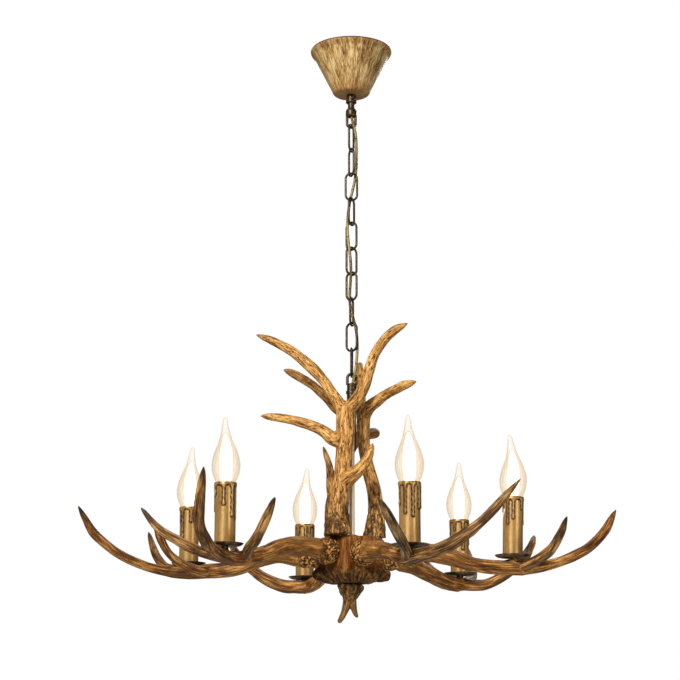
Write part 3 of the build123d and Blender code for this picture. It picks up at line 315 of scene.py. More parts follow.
def tube_parts(line, sides, base):
    """Vertices and faces of one closed tapered tube with a rounded tip."""
    c, r = line[:, :3], line[:, 3]
    t, u, w = frames(c)
    a = np.arange(sides) * 2 * math.pi / sides
    ring = np.cos(a)[None, :, None] * u[:, None, :] + np.sin(a)[None, :, None] * w[:, None, :]
    v = (c[:, None, :] + ring * r[:, None, None]).reshape(-1, 3)
    n = len(c)
    tip = c[-1] + t[-1] * r[-1] * 0.9
    v = np.vstack([v, c[0], tip])
    f = []
    for i in range(n - 1):
        for k in range(sides):
            m = (k + 1) % sides
            f.append((base + i * sides + k, base + i * sides + m, base + (i + 1) * sides + m, base + (i + 1) * sides + k))
    b0, b1 = base + n * sides, base + n * sides + 1
    for k in range(sides):
        m = (k + 1) % sides
        f.append((b0, base + m, base + k))
        f.append((b1, base + (n - 1) * sides + k, base + (n - 1) * sides + m))
    return v, f


def remeshed(ob, voxel, rounds):
    m = ob.modifiers.new("union", "REMESH")
    m.mode = "VOXEL"
    m.voxel_size = voxel
    m.use_smooth_shade = True
    s = ob.modifiers.new("soften", "SMOOTH")
    s.factor = 0.5
    s.iterations = rounds
    deps = bpy.context.evaluated_depsgraph_get()
    me = bpy.data.meshes.new_from_object(ob.evaluated_get(deps))
    ob.modifiers.clear()
    ob.data = me
    me.polygons.foreach_set("use_smooth", [True] * len(me.polygons))
    return ob


def coords(me):
    a = np.empty(len(me.vertices) * 3, np.float32)
    me.vertices.foreach_get("co", a)
    return a.reshape(-1, 3).astype(float)


def normals(me):
    a = np.empty(len(me.vertices) * 3, np.float32)
    me.vertices.foreach_get("normal", a)
    return a.reshape(-1, 3).astype(float)


def set_coords(me, v):
    me.vertices.foreach_set("co", np.asarray(v, np.float32).ravel())
    me.update()


def attr(me, name, values, kind="FLOAT"):
    a = me.attributes.new(name, kind, "POINT")
    if kind == "FLOAT":
        a.data.foreach_set("value", np.asarray(values, np.float32))
    else:
        a.data.foreach_set("vector", np.asarray(values, np.float32).ravel())


def antler(name, tubes, start_at, kind, voxel=1.35, seed=1, posts=()):
    """tubes: (points, arc offset, tone, tip dark); on the uprights the tone slot carries painted shade. kind: arm,
    upright or finial.
    """
    verts, faces, lines = [], [], []
    base = 0
    for pts, off, tone_and_shade, tipd in tubes:
        line = spline(pts)
        v, f = tube_parts(line, 26, base)
        verts.append(v)
        faces += f
        base += len(v)
        c = line[:, :3]
        t, u, w = frames(c)
        s = np.r_[0, np.cumsum(np.linalg.norm(np.diff(c, axis=0), axis=1))]
        lines.append((c, line[:, 3], u, w, s + off, s[-1] + off, tone_and_shade, tipd))
    for pts in posts:
        v, f = tube_parts(np.array(pts, float), 26, base)
        verts.append(v)
        faces += f
        base += len(v)
    ob = make(name, np.vstack(verts) * MM, faces)
    remeshed(ob, voxel * MM, 4)
    me = ob.data
    p = coords(me) / MM
    n = normals(me)
    best = np.full(len(p), 1e9)
    flow = np.zeros((len(p), 3))
    tip = np.zeros(len(p))
    tone_and_shade = np.zeros(len(p))
    arc = np.zeros(len(p))
    rad = np.ones(len(p))
    for c, r, u, w, s, end, tn, tipd in lines:
        for lo in range(0, len(p), 20000):
            q = p[lo:lo + 20000]
            d = np.linalg.norm(q[:, None, :] - c[None, :, :], axis=2) - r[None, :]
            k = d.argmin(1)
            dd = d[np.arange(len(q)), k]
            take = dd < best[lo:lo + 20000]
            idx = np.where(take)[0] + lo
            kk = k[take]
            rel = p[idx] - c[kk]
            x = (rel * u[kk]).sum(1)
            y = (rel * w[kk]).sum(1)
            h = np.hypot(x, y) + 1e-6
            best[idx] = dd[take]
            flow[idx] = np.column_stack([x / h * r[kk], y / h * r[kk], s[kk]])
            left = end - s[kk]
            tip[idx] = tipd * (1 - smooth(4, 34, left))
            tone_and_shade[idx] = tn
            arc[idx] = s[kk]
            rad[idx] = r[kk]
    streak = fbm(flow * np.array([0.34, 0.34, 0.035]), seed, 3)
    fine = fbm(flow * np.array([0.9, 0.9, 0.09]), seed + 5, 3)
    broad = fbm(p / 26.0, seed + 9, 2)
    grow = np.clip(rad / 10.0, 0.15, 1.2)
    disp = 0.55 * streak * grow + 0.25 * fine * grow + 0.7 * broad * grow
    # a long shallow flute or two on every tine
    ang = np.arctan2(flow[:, 1], flow[:, 0])
    disp += 0.35 * grow * np.cos(2 * ang + 1.7 * np.sin(flow[:, 2] / 47.0 + seed))
    cav = 0.55 * streak + 0.45 * fine
    mask = np.zeros(len(p))
    if kind == "arm":
        burr = 1 - smooth(16, 46, arc)
        lump = fbm(p / 6.0, seed + 21, 3)
        worm = 1 - np.abs(fbm(p / 5.2 + 7, seed + 23, 2)) * 3.2
        rough = burr * (1.5 * lump + 0.9 * np.clip(worm, -1, 1))
        disp += rough
        cav += burr * (0.9 * lump + 0.4 * np.clip(worm, -1, 1))
        mask = 1 - smooth(22, 44 + 10 * fbm(p / 12.0, seed + 25, 2), arc)
        # warts spread thinly along the beam
        wart = smooth(0.42, 0.75, fbm(p / 9.0, seed + 31, 2)) * (1 - smooth(60, 170, arc))
        disp += 0.9 * wart
        cav += 0.5 * wart
    elif kind == "upright":
        low = 1 - smooth(6, 120, arc)
        base_ = 1 - smooth(2, 52, arc)
        pit = smooth(0.10, 0.55, fbm(flow * np.array([0.42, 0.42, 0.11]), seed + 41, 2))
        disp -= pit * (0.25 + 0.75 * low) * np.clip(rad / 10, 0.2, 1) * 0.9
        lump = fbm(p / 5.0, seed + 43, 3)
        disp += base_ * 1.7 * lump
        cav += -pit * (0.35 + 0.9 * low) + base_ * 0.7 * lump
        mask = 0.95 * (1 - smooth(14, 74 + 16 * fbm(p / 14.0, seed + 25, 2), arc))
    else:
        lump = fbm(p / 5.5, seed + 51, 3)
        low = 1 - smooth(10, 40, arc)
        disp += (0.5 + 1.0 * low) * lump
        cav += (0.4 + 0.6 * low) * lump
        mask = 1 - smooth(8, 26, arc)
    p2 = p + n * disp[:, None]
    set_coords(me, p2 * MM)
    attr(me, "flow", flow, "FLOAT_VECTOR")
    attr(me, "tip", tip)
    attr(me, "tone_and_shade", tone_and_shade)
    attr(me, "cav", cav)
    attr(me, "rough", np.clip(mask, 0, 1))
    attr(me, "warm", (1 - smooth(70, 165, arc)) * 0.55 if kind == "arm" else np.zeros(len(p)))
    return ob


def lathe(name, profile, at=(0, 0, 0), sides=96, bend=None, closed=True):
    """Turned shape from (r, z) points in mm. bend(z) gives (dx, dy) of the axis."""
    prof = [tuple(map(float, q)) for q in profile]
    v, f = [], []
    n = len(prof)
    for r, z in prof:
        bx, by = bend(z) if bend else (0.0, 0.0)
        for k in range(sides):
            a = 2 * math.pi * k / sides
            v.append(((at[0] + bx + r * math.cos(a)) * MM, (at[1] + by + r * math.sin(a)) * MM, (at[2] + z) * MM))
    rows = n if closed else n - 1
    for i in range(rows):
        j = (i + 1) % n
        for k in range(sides):
            m = (k + 1) % sides
            f.append((i * sides + k, i * sides + m, j * sides + m, j * sides + k))
    return make(name, v, f)


def outward(ob):
    import bmesh
    bm = bmesh.new()
    bm.from_mesh(ob.data)
    bmesh.ops.remove_doubles(bm, verts=bm.verts, dist=2e-6)
    bmesh.ops.recalc_face_normals(bm, faces=bm.faces)
    bm.to_mesh(ob.data)
    bm.free()
    ob.data.polygons.foreach_set("use_smooth", [True] * len(ob.data.polygons))
    ob.data.update()
    return ob


def fine_profile(points, step=1.2):
    """Points along an open profile, rounded by a spline."""
    p = np.array([(r, z, 0, 0) for r, z in points], float)
    q = np.vstack([2 * p[0] - p[1], p, 2 * p[-1] - p[-2]])
    out = []
    for i in range(1, len(q) - 2):
        a, b, c, d = q[i - 1], q[i], q[i + 1], q[i + 2]
        n = max(2, int(np.linalg.norm(c - b) / step))
        for k in range(n):
            t = k / n
            out.append(0.5 * (2 * b + (c - a) * t + (2 * a - 5 * b + 4 * c - d) * t * t + (3 * b - a - 3 * c + d) * t ** 3))
    out.append(q[-2])
    return [(max(x[0], 0.0), x[1]) for x in out]


# --------------------------------------------------------------- materials
def material(name):
    m = bpy.data.materials.new(name)
    m.use_nodes = True
    nt = m.node_tree
    b = nt.nodes["Principled BSDF"]
    return m, nt, b


def node(nt, kind, **kw):
    n = nt.nodes.new(kind)
    for k, v in kw.items():
        setattr(n, k, v)
    return n


def ramp(nt, fac, stops):
    r = node(nt, "ShaderNodeValToRGB")
    e = r.color_ramp.elements
    e[0].position, e[0].color = stops[0][0], (*stops[0][1], 1)
    e[1].position, e[1].color = stops[-1][0], (*stops[-1][1], 1)
    for pos, col in stops[1:-1]:
        k = e.new(pos)
        k.color = (*col, 1)
    nt.links.new(fac, r.inputs["Fac"])
    return r.outputs["Color"]


def noise(nt, vec, scale, detail=4.0, rough=0.55, stretch=None):
    if stretch is not None:
        mp = node(nt, "ShaderNodeMapping")
        mp.inputs["Scale"].default_value = stretch
        nt.links.new(vec, mp.inputs["Vector"])
        vec = mp.outputs["Vector"]
    t = node(nt, "ShaderNodeTexNoise")
    t.inputs["Scale"].default_value = scale
    t.inputs["Detail"].default_value = detail
    t.inputs["Roughness"].default_value = rough
    nt.links.new(vec, t.inputs["Vector"])
    return t.outputs["Fac"]


def mth(nt, op, a, b=None, c=None, clamp=False):
    n = node(nt, "ShaderNodeMath", operation=op, use_clamp=clamp)
    for i, x in enumerate((a, b, c)):
        if x is None:
            continue
        if isinstance(x, (int, float)):
            n.inputs[i].default_value = x
        else:
            nt.links.new(x, n.inputs[i])
    return n.outputs[0]


def mix(nt, fac, a, b, blend="MIX"):
    n = node(nt, "ShaderNodeMix", data_type="RGBA", blend_type=blend)
    n.clamp_factor = True
    for key, x in (("Factor", fac), ("A", a), ("B", b)):
        sock = [s for s in n.inputs if s.name == key and (s.type == "VALUE" if key == "Factor" else s.type == "RGBA")][0]
        if isinstance(x, (int, float)):
            sock.default_value = x
        elif isinstance(x, tuple):
            sock.default_value = (*x, 1)
        else:
            nt.links.new(x, sock)
    return [s for s in n.outputs if s.type == "RGBA"][0]


def bump(nt, bsdf, height, strength, distance):
    b = node(nt, "ShaderNodeBump")
    b.inputs["Strength"].default_value = strength
    b.inputs["Distance"].default_value = distance
    nt.links.new(height, b.inputs["Height"])
    nt.links.new(b.outputs["Normal"], bsdf.inputs["Normal"])


def attribute(nt, name):
    return node(nt, "ShaderNodeAttribute", attribute_name=name)


def object_coords(nt):
    return node(nt, "ShaderNodeTexCoord").outputs["Object"]


def antler_material(name, palette, tone_and_shade_palette, tipcol, pits, rough=(0.42, 0.66), crack=210.0, top_shade=0.35, cracks=1.0, spec=0.16):
    """palette: dark, mid, light of the grain; second palette: the same for tines of tone 1, grey-brown on the arms and
    painted shade on the uprights.
    """
    m, nt, b = material(name)
    flow = attribute(nt, "flow").outputs["Vector"]
    cav = attribute(nt, "cav").outputs["Fac"]
    tone_and_shade = attribute(nt, "tone_and_shade").outputs["Fac"]
    tip = attribute(nt, "tip").outputs["Fac"]
    rg = attribute(nt, "rough").outputs["Fac"]
    obj = object_coords(nt)
    n1 = noise(nt, flow, 1.0, 5, 0.6, (0.26, 0.26, 0.024))
    n2 = noise(nt, flow, 1.0, 4, 0.65, (0.85, 0.85, 0.034))
    n3 = noise(nt, obj, 34.0, 3, 0.5)
    n4 = noise(nt, flow, 1.0, 3, 0.6, (0.72, 0.72, 0.040))
    if pits > 0.5:
        n2 = noise(nt, flow, 1.0, 4, 0.65, (0.62, 0.62, 0.062))
    wide = 0.42 if pits <= 0.5 else 0.24
    g = mth(nt, "ADD", mth(nt, "MULTIPLY", n1, wide), mth(nt, "MULTIPLY", n2, 0.78 - wide))
    g = mth(nt, "ADD", g, mth(nt, "MULTIPLY", n3, 0.22))
    g = mth(nt, "ADD", g, mth(nt, "MULTIPLY", cav, 0.11))
    d, mi, l = palette
    stops = (0.37, 0.455, 0.505, 0.60) if not pits else (0.35, 0.43, 0.49, 0.58)
    col = ramp(nt, g, [(stops[0], d), (stops[1], tuple(0.5 * x + 0.5 * y for x, y in zip(d, mi))), (stops[2], mi), (stops[3], l)])
    gd, gm, gl = tone_and_shade_palette
    gcol = ramp(nt, g, [(0.39, gd), (0.485, gm), (0.55, tuple(0.5 * x + 0.5 * y for x, y in zip(gm, gl))), (0.62, gl)])
    col = mix(nt, tone_and_shade, col, gcol)
    # thin dark grain lines
    fine = ramp(nt, n4, [(0.40, (1, 1, 1)), (0.46, (0, 0, 0))])
    col = mix(nt, mth(nt, "MULTIPLY", fine, 0.30 if pits else 0.80), col, d)
    # painted shade in the hollows, and painted shade darkening the upward-facing side
    low = mth(nt, "MULTIPLY", mth(nt, "SUBTRACT", -0.16, cav), 1.3, clamp=True)
    col = mix(nt, low, col, tuple(0.6 * x for x in d))
    # painted shade on the upward side, weighted by how far the normal points up
    geo = node(nt, "ShaderNodeNewGeometry")
    sep = node(nt, "ShaderNodeSeparateXYZ")
    nt.links.new(geo.outputs["Normal"], sep.inputs[0])
    upward_shade_mask = ramp(nt, sep.outputs["Z"], [(0.25, (0, 0, 0)), (0.95, (1, 1, 1))])
    col = mix(nt, mth(nt, "MULTIPLY", upward_shade_mask, top_shade), col, tuple(1.6 * x for x in d))
    h = mth(nt, "ADD", mth(nt, "MULTIPLY", n2, 0.7), mth(nt, "MULTIPLY", n4, 0.4))
    if pits:
        # short upright pits, small above and crowded together towards the foot
        p = noise(nt, flow, 1.0, 2, 0.5, (0.52, 0.52, 0.13))
        q = noise(nt, flow, 1.0, 3, 0.55, (0.30, 0.30, 0.105))
        p = mth(nt, "ADD", p, mth(nt, "MULTIPLY", rg, 0.06))
        q = mth(nt, "ADD", q, mth(nt, "MULTIPLY", mth(nt, "MULTIPLY", rg, rg), 0.13))
        pm = mth(nt, "MAXIMUM", ramp(nt, p, [(0.59, (0, 0, 0)), (0.63, (1, 1, 1))]), ramp(nt, q, [(0.63, (0, 0, 0)), (0.67, (1, 1, 1))]))
        pm = mth(nt, "MULTIPLY", pm, pits)
        col = mix(nt, pm, col, tuple(0.55 * x for x in d))
        # the burr itself is scorched almost black between its knobs
        burn = mth(nt, "MULTIPLY", mth(nt, "MULTIPLY", rg, rg), ramp(nt, n3, [(0.44, (0.9, 0.9, 0.9)), (0.54, (0.05, 0.05, 0.05))]))
        col = mix(nt, mth(nt, "MULTIPLY", burn, 0.8 if pits > 0.5 else 0.3), col, tuple(0.5 * x for x in d))
        h = mth(nt, "SUBTRACT", h, mth(nt, "MULTIPLY", pm, 0.4))
    # winding cracks between raised ridges on the burrs
    c1 = noise(nt, obj, crack, 2, 0.5, (1, 1, 0.8))
    w1 = mth(nt, "ABSOLUTE", mth(nt, "SUBTRACT", c1, 0.5))
    cm = ramp(nt, w1, [(0.026, (1, 1, 1)), (0.075, (0, 0, 0))])
    rid = ramp(nt, w1, [(0.075, (0, 0, 0)), (0.135, (1, 1, 1))])
    cm = mth(nt, "MULTIPLY", cm, mth(nt, "MULTIPLY", rg, cracks))
    col = mix(nt, mth(nt, "MULTIPLY", mth(nt, "MULTIPLY", rid, rg), 0.60 * cracks), col, tuple(0.95 * x for x in l))
    warm = attribute(nt, "warm").outputs["Fac"]
    col = mix(nt, mth(nt, "MULTIPLY", warm, mth(nt, "MULTIPLY_ADD", n2, 1.2, -0.25, True)), col, tuple(0.55 * x + 0.5 * y for x, y in zip(l, mi)))
    col = mix(nt, mth(nt, "MULTIPLY", cm, 0.92), col, tuple(0.5 * x for x in d))
    h = mth(nt, "SUBTRACT", h, mth(nt, "MULTIPLY", cm, 0.9))
    col = mix(nt, tip, col, tipcol)
    nt.links.new(col, b.inputs["Base Color"])
    r = mth(nt, "MULTIPLY_ADD", n2, rough[1] - rough[0], rough[0])
    nt.links.new(r, b.inputs["Roughness"])
    b.inputs["Specular IOR Level"].default_value = spec
    bump(nt, b, h, 0.75, 0.0013)
    return m

ARM_MAT = antler_material("antler_cast",
                          ((0.020, 0.0070, 0.0019), (0.205, 0.076, 0.0150), (0.640, 0.330, 0.088)),
                          ((0.011, 0.0058, 0.0027), (0.072, 0.041, 0.0175), (0.420, 0.270, 0.120)),
                          (0.016, 0.0085, 0.004), 0.0, crack=175.0, cracks=1.0)
UP_MAT = antler_material("antler_upright_cast",
                         ((0.080, 0.0275, 0.0058), (0.440, 0.215, 0.056), (0.700, 0.420, 0.145)),
                         # second palette: painted shade of the rear upright
                         ((0.016, 0.0060, 0.0020), (0.120, 0.048, 0.0130), (0.330, 0.165, 0.048)),
                         # lighter painted shade on upward faces than the default
                         (0.440, 0.260, 0.090), 0.9, top_shade=0.20, cracks=0.30)
FINIAL_MAT = antler_material("finial_cast",
                             ((0.018, 0.0075, 0.0024), (0.100, 0.046, 0.0120), (0.330, 0.180, 0.052)),
                             ((0.018, 0.0075, 0.0024), (0.100, 0.046, 0.0120), (0.330, 0.180, 0.052)),
                             (0.250, 0.135, 0.040), 0.3, crack=120.0, cracks=0.45)

# ------------------------------------------------------------------ antlers
# tone of each tine: 0 caramel, 1 grey-brown; and how dark its tip is
TONES = {"right": (0.0, 0.0, 0.55, 0.0), "rear_right": (0.0, 0.1, 0.2, 0.2),
         "rear_left": (0.0, 0.1, 0.1, 0.1), "left": (0.15, 0.15, 0.45, 0.1),
         "front_left": (0.05, 0.45, 0.55, 0.55), "front_right": (0.10, 0.62, 0.95, 0.85)}
TIPS = {"right": (0.15, 0.9, 0.5), "rear_right": (0.7, 0.7, 0.6), "rear_left": (0.7, 0.7, 0.7),
        "left": (0.9, 0.8, 0.2), "front_left": (0.5, 0.8, 0.7), "front_right": (0.0, 0.5, 0.7)}


def arc_to(points, target):
    """Length along a centre line to its point nearest the target."""
    p = np.array(points, float)[:, :3]
    s = np.r_[0, np.cumsum(np.linalg.norm(np.diff(p, axis=0), axis=1))]
    return float(s[np.linalg.norm(p - np.array(target[:3]), axis=1).argmin()])


for i, (name, a) in enumerate(ARMS.items()):
    tn, tp = TONES[name], TIPS[name]
    az = math.radians(AZIMUTH[name])
    ca, sa = math.cos(az), math.sin(az)
    beam = list(a["beam"])
    z0 = beam[0][2]
    # rounded burr that meets the hub's flat
    beam = [(44.3 * ca, 44.3 * sa, z0, 13.6), (46.0 * ca, 46.0 * sa, z0, 16.6), (49.5 * ca, 49.5 * sa, z0, 18.2)] + \
        [(beam[1][0] + 1.5 * ca, beam[1][1] + 1.5 * sa, beam[1][2], 17.4)] + beam[2:]
    cx, cy, dz = CANDLES[name]
    post = [(cx, cy, SEAT_Z + dz - 13.0, 6.2), (cx, cy, SEAT_Z + dz - 6.0, 5.8), (cx, cy, SEAT_Z + dz - 1.0, 5.6), (cx, cy, SEAT_Z + dz - 0.8, 5.2)]
    end = arc_to(a["beam"], a["beam"][-1])
    back = arc_to(a["beam"], a["back_tine"][0])
    ob = antler("arm_cast_" + name,
                [(beam, 0.0, tn[0], 0.0), (a["end_tine"], end, tn[1], tp[0]),
                 (a["side_tine"], end, tn[2], tp[1]), (a["back_tine"], back, tn[3], tp[2])],
                0, "arm", seed=11 + 7 * i, posts=[post])
    ob.data.materials.clear()
    ob.data.materials.append(ARM_MAT)
    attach(ob, "fixture")
    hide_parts("arm_antler_" + name)

for i, (name, t) in enumerate(UPRIGHTS.items()):
    trunk = list(t["trunk"])
    x, y, z, r = trunk[0]
    trunk = [(x, y, HUB_TOP + 0.9, r - 2.0), (x, y, HUB_TOP + 3.5, r)] + trunk[1:]
    # painted shade: the rear upright, and a touch of the right one, is mixed toward the darker second palette as if
    # shadowed
    shade = {"front": 0.0, "right": 0.08, "rear": 0.85}[name]
    tubes = [(trunk, 0.0, shade, 0.0)]
    for k, pts in t.items():
        if k != "trunk":
            tubes.append((pts, arc_to(t["trunk"], pts[0]), shade * (0.55 if (name, k) in (("rear", "right_tine"), ("rear", "brow_tine")) else 1.0), 0.25))
    ob = antler("upright_cast_" + name, tubes, 0, "upright", seed=101 + 9 * i)
    ob.data.materials.clear()
    ob.data.materials.append(UP_MAT)
    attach(ob, "fixture")
    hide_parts("upright_antler_" + name)

finial = antler("finial_cast", [
    ([(-1.5, 0, -831.6, 18.6), (-1.8, 0, -834.0, 19.6), (-2.2, 0, -837.5, 19.0), (-3.0, 0, -843.0, 15.3), (-3.8, 0, -849.5, 11.3), (-6.4, 0, -857.0, 7.4),
      (-9.0, -0.8, -865.0, 5.9), (-11.4, -1.5, -872.0, 4.9), (-14.6, -2.2, -879.0, 4.1), (-18.6, -2.9, -886.0, 3.0)], 0.0, 0.0, 0.3),
    ([(-2.2, 0, -848.0, 9.3), (0.2, 0.3, -857.0, 6.0), (2.0, 1.0, -865.0, 5.0), (4.4, 1.7, -872.5, 3.9), (7.4, 2.3, -878.2, 2.4)], 17.0, 0.0, 0.3)],
    0, "finial", voxel=1.0, seed=203)
finial.data.materials.clear()
finial.data.materials.append(FINIAL_MAT)
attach(finial, "fixture")
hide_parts("finial_antler")

# ---------------------------------------------------------------------- hub
FLAT = [(0.6, -764.5), (30, -764.5), (40.5, -764.7), (43.0, -766.2), (43.8, -769), (43.8, -780), (43.8, -790), (43.8, -800), (43.2, -808),
        (41.5, -813), (37, -819), (31, -825), (26, -829), (22, -830.6), (12, -830.9), (0.6, -830.9)]
CORNER = [(0.6, -764.5), (32, -764.5), (44.5, -764.8), (48.4, -766.6), (49.6, -770), (49.9, -780), (49.8, -790), (49.8, -799), (51.0, -806),
          (55.5, -811), (59.2, -815.5), (59.4, -820.5), (56.0, -825.5), (47, -827.2), (37, -827.0), (29, -828.4), (23.5, -830.6), (12, -830.9), (0.6, -830.9)]
A = np.array(fine_profile(FLAT, 1.5))
s = np.r_[0, np.cumsum(np.linalg.norm(np.diff(A, axis=0), axis=1))]
A = np.column_stack([np.interp(np.linspace(0, s[-1], 150), s, A[:, i]) for i in (0, 1)])
B = np.array(fine_profile(CORNER, 1.5))
s = np.r_[0, np.cumsum(np.linalg.norm(np.diff(B, axis=0), axis=1))]
B = np.column_stack([np.interp(np.linspace(0, s[-1], 150), s, B[:, i]) for i in (0, 1)])
SIDES = 240
v, f, hf = [], [], []
for j in range(150):
    for k in range(SIDES):
        deg = 360.0 * k / SIDES
        d = (deg + 13.0 + 30.0) % 60.0 - 30.0
        w = smooth(11.0, 30.0, abs(d))
        hexr = min(1.0 / max(math.cos(math.radians(d)), 0.1), 1.14)
        lower = smooth(-800.0, -812.0, A[j, 1])
        ra = A[j, 0] * (hexr * (1 - lower) + lower)
        r = ra * (1 - w) + B[j, 0] * w
        z = A[j, 1] * (1 - w) + B[j, 1] * w
        a = math.radians(deg)
        v.append((r * math.cos(a), r * math.sin(a), z))
        hf.append((50 * math.cos(a), 50 * math.sin(a), z))
for j in range(149):
    for k in range(SIDES):
        m = (k + 1) % SIDES
        f.append((j * SIDES + k, (j + 1) * SIDES + k, (j + 1) * SIDES + m, j * SIDES + m))
f.append([k for k in range(SIDES)][::1])
f.append([149 * SIDES + k for k in range(SIDES)][::-1])
v = np.array(v)
hf = np.array(hf)
hub = make("hub_cast", v * MM, f)
outward(hub)
me = hub.data
p = coords(me) / MM
n = normals(me)
ang = np.arctan2(p[:, 1], p[:, 0])
hf = np.column_stack([50 * np.cos(ang), 50 * np.sin(ang), p[:, 2]])
rough_ = smooth(-803, -812, p[:, 2])
side = smooth(38, 43, np.hypot(p[:, 0], p[:, 1]))
lump = fbm(p / 7.0, 301, 3)
worm = np.clip(1 - np.abs(fbm(p / 6.0 + 3, 303, 2)) * 3.0, -1, 1)
# ridges that run out from the finial like a fan
rad_ = np.hypot(p[:, 0], p[:, 1])
fan = np.sin(ang * 34 + 2.6 * fbm(p / 9.0, 309, 2)) * smooth(-812, -820, p[:, 2]) * smooth(20, 28, rad_)
streak = fbm(hf * np.array([0.5, 0.5, 0.05]), 305, 3)
disp = rough_ * (1.5 * lump + 0.6 * worm + 0.7 * fan) + (1 - rough_) * (0.18 * streak * side + 0.35 * fbm(p / 20.0, 307, 2))
disp *= smooth(-831.2, -829, p[:, 2]) * 1.0
# a lump at the left of the foot, beside the finial
disp += 4.0 * np.exp(-((p[:, 0] + 30) ** 2 + (p[:, 1] + 6) ** 2 + (p[:, 2] + 829) ** 2) / 80.0)
set_coords(me, (p + n * disp[:, None]) * MM)
attr(me, "flow", hf, "FLOAT_VECTOR")
attr(me, "cav", rough_ * (0.6 * lump + 0.3 * worm + 0.5 * fan - 0.15) + (1 - rough_) * 0.45 * streak)
attr(me, "rough", 0.75 * smooth(-804, -812, p[:, 2]))
attr(me, "warm", np.zeros(len(p)))
attr(me, "tip", np.zeros(len(p)))
attr(me, "tone_and_shade", smooth(-806, -818, p[:, 2]))
HUB_MAT = antler_material("hub_cast",
                          ((0.034, 0.0098, 0.0016), (0.155, 0.052, 0.0072), (0.310, 0.122, 0.0200)),
                          ((0.015, 0.0060, 0.0020), (0.066, 0.030, 0.0085), (0.260, 0.138, 0.040)),
                          # lighter painted shade on upward faces than the default
                          (0.4, 0.2, 0.1), 0.0, crack=105.0, top_shade=0.2, spec=0.12, cracks=0.55)
hub.data.materials.clear()
hub.data.materials.append(HUB_MAT)
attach(hub, "fixture")
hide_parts("hub_body")


# -------------------------------------------------------------- metal looks
def metal(name, dark, mid, light, metallic, rough, vec_scale, stretch, contrast=(0.36, 0.66), dist=0.0004, vec=None):
    m, nt, b = material(name)
    obj = object_coords(nt) if vec is None else attribute(nt, vec).outputs["Vector"]
    a = noise(nt, obj, vec_scale, 5, 0.6, stretch)
    c = noise(nt, obj, vec_scale * 3.1, 3, 0.6, stretch)
    g = mth(nt, "ADD", mth(nt, "MULTIPLY", a, 0.65), mth(nt, "MULTIPLY", c, 0.35))
    col = ramp(nt, g, [(contrast[0], dark), (0.5 * (contrast[0] + contrast[1]), mid), (contrast[1], light)])
    nt.links.new(col, b.inputs["Base Color"])
    b.inputs["Metallic"].default_value = metallic
    nt.links.new(mth(nt, "MULTIPLY_ADD", c, rough[1] - rough[0], rough[0]), b.inputs["Roughness"])
    bump(nt, b, g, 0.4, dist)
    return m


BRONZE = metal("aged_bronze", (0.005, 0.0028, 0.0012), (0.024, 0.0135, 0.005), (0.170, 0.105, 0.040), 0.55, (0.28, 0.5), 420.0, (1, 1, 1))
PAN = metal("pan_bronze", (0.012, 0.0075, 0.0035), (0.070, 0.044, 0.018), (0.300, 0.200, 0.090), 0.6, (0.25, 0.45), 160.0, (1, 1, 1))
STEEL = metal("zinc_steel", (0.30, 0.29, 0.27), (0.46, 0.45, 0.43), (0.62, 0.62, 0.60), 1.0, (0.28, 0.5), 260.0, (1, 1, 1))
BULB_CAP = metal("lamp_cap_metal", (0.42, 0.38, 0.30), (0.60, 0.56, 0.46), (0.78, 0.74, 0.66), 1.0, (0.2, 0.4), 300.0, (1, 1, 1))
STEM = metal("stem_cream", (0.30, 0.22, 0.11), (0.62, 0.52, 0.33), (0.82, 0.74, 0.56), 0.25, (0.25, 0.45), 90.0, (1, 1, 0.08))
HOLDER = metal("holder_bakelite", (0.60, 0.58, 0.52), (0.74, 0.72, 0.66), (0.84, 0.82, 0.78), 0.0, (0.4, 0.6), 200.0, (1, 1, 1))

for nm, o in nodes.items():
    pick = None
    if nm.startswith("chain_link") or nm in ("canopy_loop", "body_loop"):
        pick = BRONZE
    elif nm in ("mounting_strap", "canopy_nipple", "nipple_lock_nut", "ground_screw", "stem_nuts", "antler_bolts", "candle_nipples"):
        pick = STEEL
    elif nm == "canopy_collar":
        pick = BRONZE
    elif nm == "stem_tube":
        pick = STEM
    elif nm in ("terminal_block", "lamp_holders"):
        pick = HOLDER
    elif nm.startswith("bulb_cap"):
        pick = BULB_CAP
    if pick is not None:
        if o.data.materials:
            o.material_slots[0].material = pick
        else:
            o.data.materials.append(pick)
        o.data.polygons.foreach_set("use_smooth", [True] * len(o.data.polygons))
        ed = o.modifiers.new("edges", "EDGE_SPLIT")
        ed.split_angle = math.radians(35)

# ------------------------------------------------------------------- canopy
outer = fine_profile([(62.6, -0.05), (63.35, -1.2), (63.3, -3.0), (62.0, -5.6), (59.4, -8.2), (57.4, -10.2), (56.0, -13.0), (49.4, -26.4),
                      (42.8, -39.8), (36.2, -53.2), (30.2, -65.6), (28.8, -69.2), (25.6, -72.2), (21.0, -72.95), (12.0, -73.0), (5.2, -73.0)], 1.0)
inner = fine_profile([(5.2, -71.7), (12.0, -71.7), (20.5, -71.6), (24.6, -70.8), (27.4, -68.0), (28.8, -65.0), (34.8, -52.6), (41.4, -39.2),
                      (48.0, -25.8), (54.6, -12.4), (56.4, -9.4), (60.4, -5.2), (61.8, -2.6), (61.9, -0.05)], 1.5)
canopy = outward(lathe("canopy_shell", outer + inner, sides=160))
m, nt, b = material("canopy_antique")
pz = coords(canopy.data) / MM
an = np.arctan2(pz[:, 1], pz[:, 0])
